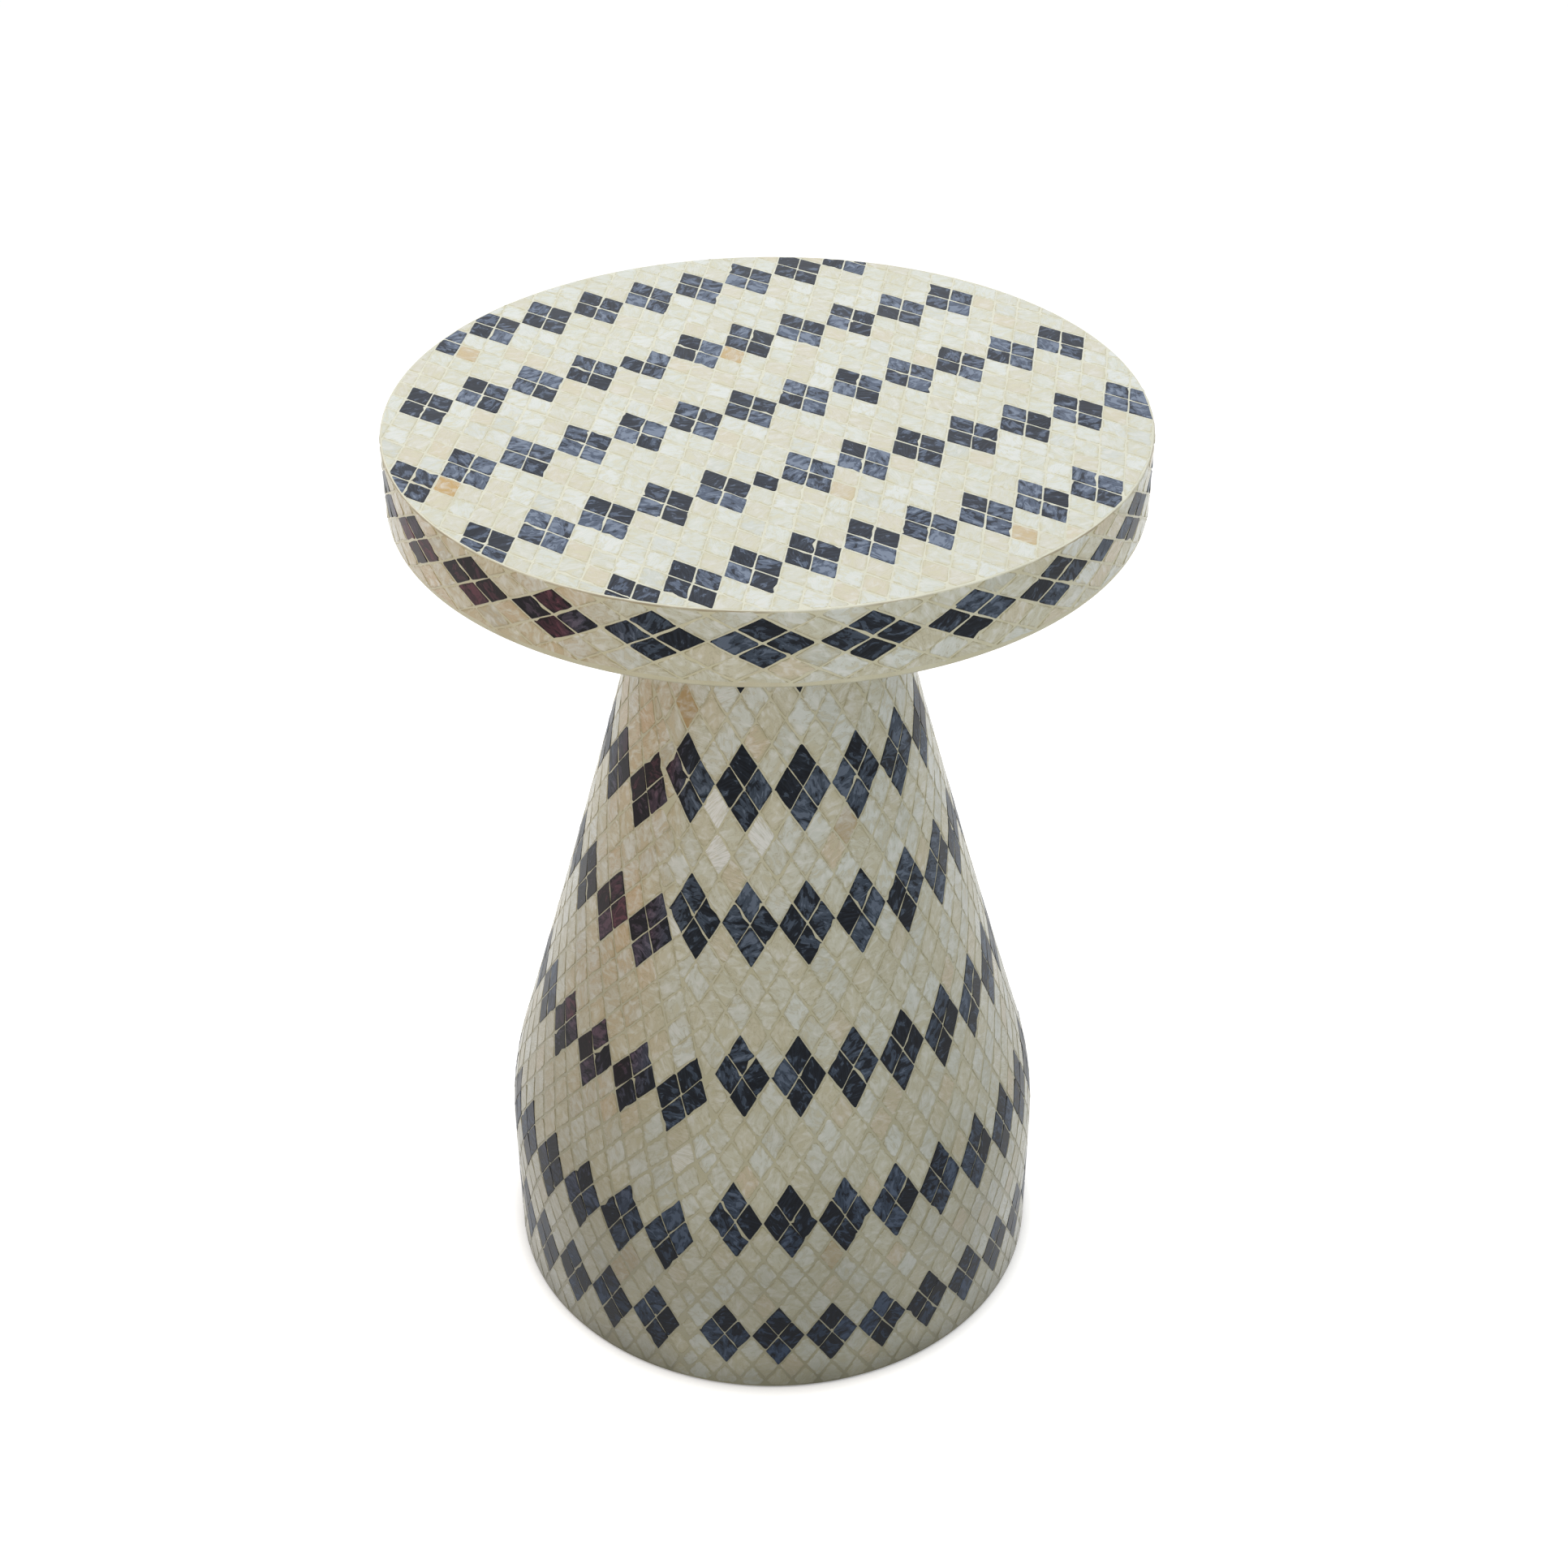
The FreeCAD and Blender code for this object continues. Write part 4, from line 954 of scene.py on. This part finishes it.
rim_line = wall_line("rim line", [(top_radius, 0.0), (top_radius, table_height)])
upright = {"Wrap": True, "Wall Line": rim_line, "Net Radius": net_radius}
lay_both("rim", rim_nets(), upright, wall_ivory, wall_black, seed=21)
bpy.data.objects.remove(rim_line)


# Tiles of the pedestal: three flat sheets of upright rhombs, each laid round the wall from its middle line.
# Their dark rows don't meet where two sheets are trimmed to each other, and the front seam wanders.
front_middle = math.radians(6.5)
half_width = 7.12 * mm
body_low = 2.0 * mm
body_high = wall_run - 0.5 * mm


def wall_radius(run):
    """Radius of the pedestal at a run up its wall."""
    return wall_point(run)[0]


def front_seam(run):
    """Where the front sheet's left seam lies round the table."""
    seam = (
        (0, -63), (119, -55), (160, -47), (205, -43), (245, -53),
        (285, -62), (375, -62), (405, -72), (500, -72),
    )
    run = max(run, 0.0)
    for (low, across_low), (high, across_high) in zip(seam, seam[1:]):
        if low * mm <= run <= high * mm:
            across = across_low + (across_high - across_low) * (run / mm - low) / (high - low)
            return front_middle + across * mm / wall_radius(run)


def sheet_cells(middle_line, drop, shift, lowest, left_seam, right_seam):
    """Cells of one sheet, and of a strip past its seams: spot, corners, diamond and how far past the seam."""
    half_height = 11.8 * mm
    second_row_run = 119.0 * mm
    lowest_row_run = 40.0 * mm
    lowest_row, highest_row = -11, 33
    strip_columns = 3
    second = second_row_run - drop * mm
    rows = ((0, -1), (7, 0), (14, 1), (20, 1), (26, 1), lowest)
    dark_rows = [(row, column + shift) for row, column in rows]

    def corner(column, row):
        run = second + row * half_height
        if row < 0:
            run = second - (second - lowest_row_run) * row / lowest[0]
        return middle_line + column * half_width / wall_radius(run), run

    cells = []
    for row in range(lowest_row, highest_row + 1):
        run = corner(0, row)[1]
        if corner(0, row + 1)[1] < body_low or corner(0, row - 1)[1] > body_high:
            continue
        radius = wall_radius(run)
        left, right = left_seam(run), right_seam(run)
        first = math.floor((left - middle_line) * radius / half_width) - strip_columns
        last = math.ceil((right - middle_line) * radius / half_width) + strip_columns
        for column in range(first, last + 1):
            if (column + 1 - shift + row) % 2:
                spot = corner(column, row)
                corners = [corner(*place) for place in places_round(column, row)]
                past_seam = max(left - spot[0], spot[0] - right) * radius
                cells.append((spot, corners, diamond_of(column, row, dark_rows), past_seam))
    return cells


def in_way(spot, laid):
    """Outlines of laid tiles near a spot, flat about it."""
    angle, run = spot
    near = 24 * mm
    radius = wall_radius(run)
    for (other_angle, other_run), corners in laid:
        if abs(other_run - run) < near:
            turn = round((angle - other_angle) / full_turn) * full_turn
            if abs(other_angle + turn - angle) * radius < 2 * half_width:
                yield wall_cell([(across + turn, up) for across, up in corners], spot, wall_radius)


def trimmed(outline, obstacle):
    """An outline cut straight along that edge of a tile in its way which leaves the most of it."""
    least_overlap = 0.5 * mm * mm
    shared = outline
    choices = []
    for start, end in pairs(obstacle):
        normal = (end[1] - start[1], start[0] - end[0])
        limit = start[0] * normal[0] + start[1] * normal[1]
        shared = cut_back(shared, normal, limit)
        choices.append(cut_back(outline, (-normal[0], -normal[1]), -limit))
    if outline_area(shared) < least_overlap:
        return outline
    return max(choices, key=outline_area)


def light_joint(run):
    """Width of the joints between light tiles: narrow on the cone, wider down on the drum."""
    narrow, wide = 0.75 * mm, 1.25 * mm
    drum_end, cone_start = 120 * mm, 240 * mm
    share = min(max((cone_start - run) / (cone_start - drum_end), 0.0), 1.0)
    return narrow + share * (wide - narrow)


def pedestal_nets():
    """Light and dark cells of the pedestal. Whole diamonds are laid first, light tiles are trimmed to fit."""
    dark_joint = 0.55 * mm
    strip = 2.5 * half_width
    back_seam = math.radians(220.0)
    side_seam = math.radians(100.0)
    sheets = (
        sheet_cells(front_middle, 0.0, 0, (-7, -2), front_seam, lambda run: side_seam),
        sheet_cells(math.radians(160.0), 8.0, 1, (-6, -1), lambda run: side_seam, lambda run: back_seam),
        sheet_cells(math.radians(-82.0), 16.0, 2, (-5, -2), lambda run: back_seam - full_turn, front_seam),
    )
    nets = {False: [], True: []}
    laid = [[] for sheet in sheets]

    def others(number):
        """Tiles that are laid on the other sheets."""
        return [tile for other, tiles in enumerate(laid) for tile in tiles if other != number]

    def lay(spot, corners, outline, dark):
        """Adds a tile to its net, and gives what was laid."""
        angle, run = spot
        cell = wall_cell(corners, spot, wall_radius)
        joint = dark_joint if dark else light_joint(run)
        cuts = [((0, -1), run - body_low), ((0, 1), body_high - run)]
        added = add_tile(nets[dark], (angle * net_radius, run), cell, outline, joint, cuts)
        return [(spot, corners)] if added else []

    for number, cells in enumerate(sheets):
        neighbours = others(number)
        broken = {None}
        for spot, corners, diamond, past_seam in cells:
            cell = wall_cell(corners, spot, wall_radius)
            clear = all(trimmed(cell, obstacle) is cell for obstacle in in_way(spot, neighbours))
            if diamond and (past_seam > 0 or not clear):
                broken.add(diamond)
        for spot, corners, diamond, past_seam in cells:
            if diamond not in broken:
                laid[number] += lay(spot, corners, wall_cell(corners, spot, wall_radius), True)
    for number, cells in enumerate(sheets):
        neighbours = others(number)
        own = {spot for spot, corners in laid[number]}
        for spot, corners, diamond, past_seam in cells:
            if spot in own or past_seam > (strip if number else 0.0):
                continue
            outline = wall_cell(corners, spot, wall_radius)
            if past_seam > -strip:
                for obstacle in in_way(spot, neighbours):
                    outline = trimmed(outline, obstacle)
            laid[number] += lay(spot, corners, outline, False)
    return nets


tiles = pedestal_nets()
stains = (((13, 98), 0.6), ((26, 336), 0.6), ((-38, 406), 1.0), ((-32, 80), 0.6), ((-35, 68), 0.6))
# Tiles of white nacre on the cone, their bright ribs partly painted glints.
pearls_and_painted_glints = (
    ((-18, 341), -1.0), ((-15.5, 318), -1.0), ((-2.5, 331), -0.8), ((-19.8, 150), -0.7), ((-26, 285), -0.6),
)
for (angle, run), tint in stains + pearls_and_painted_glints:
    tint_nearest(tiles[False], (math.radians(angle) * net_radius, run * mm), tint)

line_steps = 100
line_points = [wall_point(wall_run * step / line_steps) for step in range(line_steps + 1)]
body_line = wall_line("pedestal line", line_points)
upright = {"Wrap": True, "Wall Line": body_line, "Net Radius": net_radius}
lay_both("body", tiles, upright, wall_ivory, wall_black, seed=31, light_round=1.1 * mm)
bpy.data.objects.remove(body_line)


# Studio: a plain pale floor, an even pale sky, and soft lamps in front, behind and overhead. A weak warm lamp
# at the left alone is mirrored in the lacquer. The camera stands in front and looks down at the table.
def seen_rays(tree):
    """1 for what is seen, straight or in a reflection, and 0 for what only gives light."""
    rays = put(tree, "ShaderNodeLightPath").outputs
    seen = maths("MAXIMUM", rays["Is Camera Ray"], rays["Is Glossy Ray"])
    return maths("MAXIMUM", seen, rays["Is Transmission Ray"])


white = (1.0, 1.0, 1.0, 1.0)
floor_reach = 12.0
floor_corners = [(x * floor_reach, y * floor_reach, 0) for x, y in ((-1, -1), (1, -1), (1, 1), (-1, 1))]
floor_mesh = bpy.data.meshes.new("floor")
floor_mesh.from_pydata(floor_corners, [], [(0, 1, 2, 3)])
floor = bpy.data.objects.new("floor", floor_mesh)
bpy.context.scene.collection.objects.link(floor)
material, tree, shader = new_finish("floor", Roughness=0.9, Specular_IOR_Level=0.0, Emission_Color=white)
seen = seen_rays(tree)
floor_colour = blend(seen, srgb(56, 56, 54), srgb(245, 245, 244))
floor_glow = 0.58
# The floor's glow is dimmed by ambient occlusion within 8 mm of the table: a painted contact shadow, darkest
# in the gap under the base.
unshaded = put(tree, "ShaderNodeAmbientOcclusion", {"Distance": 8 * mm}, samples=16).outputs["AO"]
tree.links.new(floor_colour, shader.inputs["Base Color"])
tree.links.new(times(seen, floor_glow, unshaded), shader.inputs["Emission Strength"])
dress(floor, material)

world = bpy.data.worlds.new("studio")
bpy.context.scene.world = world
world.use_nodes = True
tree = world.node_tree
sky = tree.nodes["Background"]
sky.inputs["Color"].default_value = white
sky_light = 0.45
sky_strength = maths("MULTIPLY_ADD", seen_rays(tree), 1.0 - sky_light, sky_light)
tree.links.new(sky_strength, sky.inputs["Strength"])


def soft_lamp(name, place, width, height, watts, aim=(0.0, 0.0, 0.25), colour=white[:3], glints=False):
    """A soft rectangular lamp aimed at the table. Only one that gives glints is mirrored in the lacquer."""
    light = bpy.data.lights.new(name, "AREA")
    light.shape = "RECTANGLE"
    light.size = width
    light.size_y = height
    light.energy = watts
    light.color = colour
    lamp = bpy.data.objects.new(name, light)
    lamp.visible_camera = False
    lamp.visible_glossy = glints
    bpy.context.scene.collection.objects.link(lamp)
    way = Vector(aim) - Vector(place)
    lamp.matrix_world = Matrix.Translation(place) @ way.to_track_quat("-Z", "Y").to_matrix().to_4x4()


soft_lamp("front lamp", (0.46, -0.92, 0.5), 0.8, 0.6, 3.3)
soft_lamp("back left lamp", (-0.9, 0.6, 1.04), 0.8, 0.8, 2.6)
soft_lamp("back right lamp", (0.9, 0.6, 1.04), 0.8, 0.8, 2.6)
soft_lamp("overhead lamp", (0.0, 0.1, 1.7), 0.7, 0.7, 4.7)
soft_lamp(
    "warm side lamp", (-0.75, -0.45, 0.62), 0.5, 0.5, 1.9,
    aim=(0.0, 0.0, 0.46), colour=(1.0, 0.84, 0.7), glints=True,
)

camera_data = bpy.data.cameras.new("camera")
camera = bpy.data.objects.new("camera", camera_data)
bpy.context.scene.collection.objects.link(camera)
bpy.context.scene.camera = camera
sensor = 36.0
frame_pixels = 1932
focal_pixels = 3067.4
optic_x, optic_y = 948.6, 952.3
camera_data.sensor_width = sensor
camera_data.lens = sensor * focal_pixels / frame_pixels
camera_data.shift_x = 0.5 - optic_x / frame_pixels
camera_data.shift_y = optic_y / frame_pixels - 0.5
elevation = math.radians(34.944)
roll = math.radians(-0.451)
distance = 1.28255
aim_height = 0.30156
stand = (0.0, -distance * math.cos(elevation), aim_height + distance * math.sin(elevation))
look = Matrix.Rotation(math.pi / 2 - elevation, 4, "X") @ Matrix.Rotation(roll, 4, "Z")
camera.matrix_world = Matrix.Translation(stand) @ look

bpy.context.scene.view_settings.view_transform = "Standard"
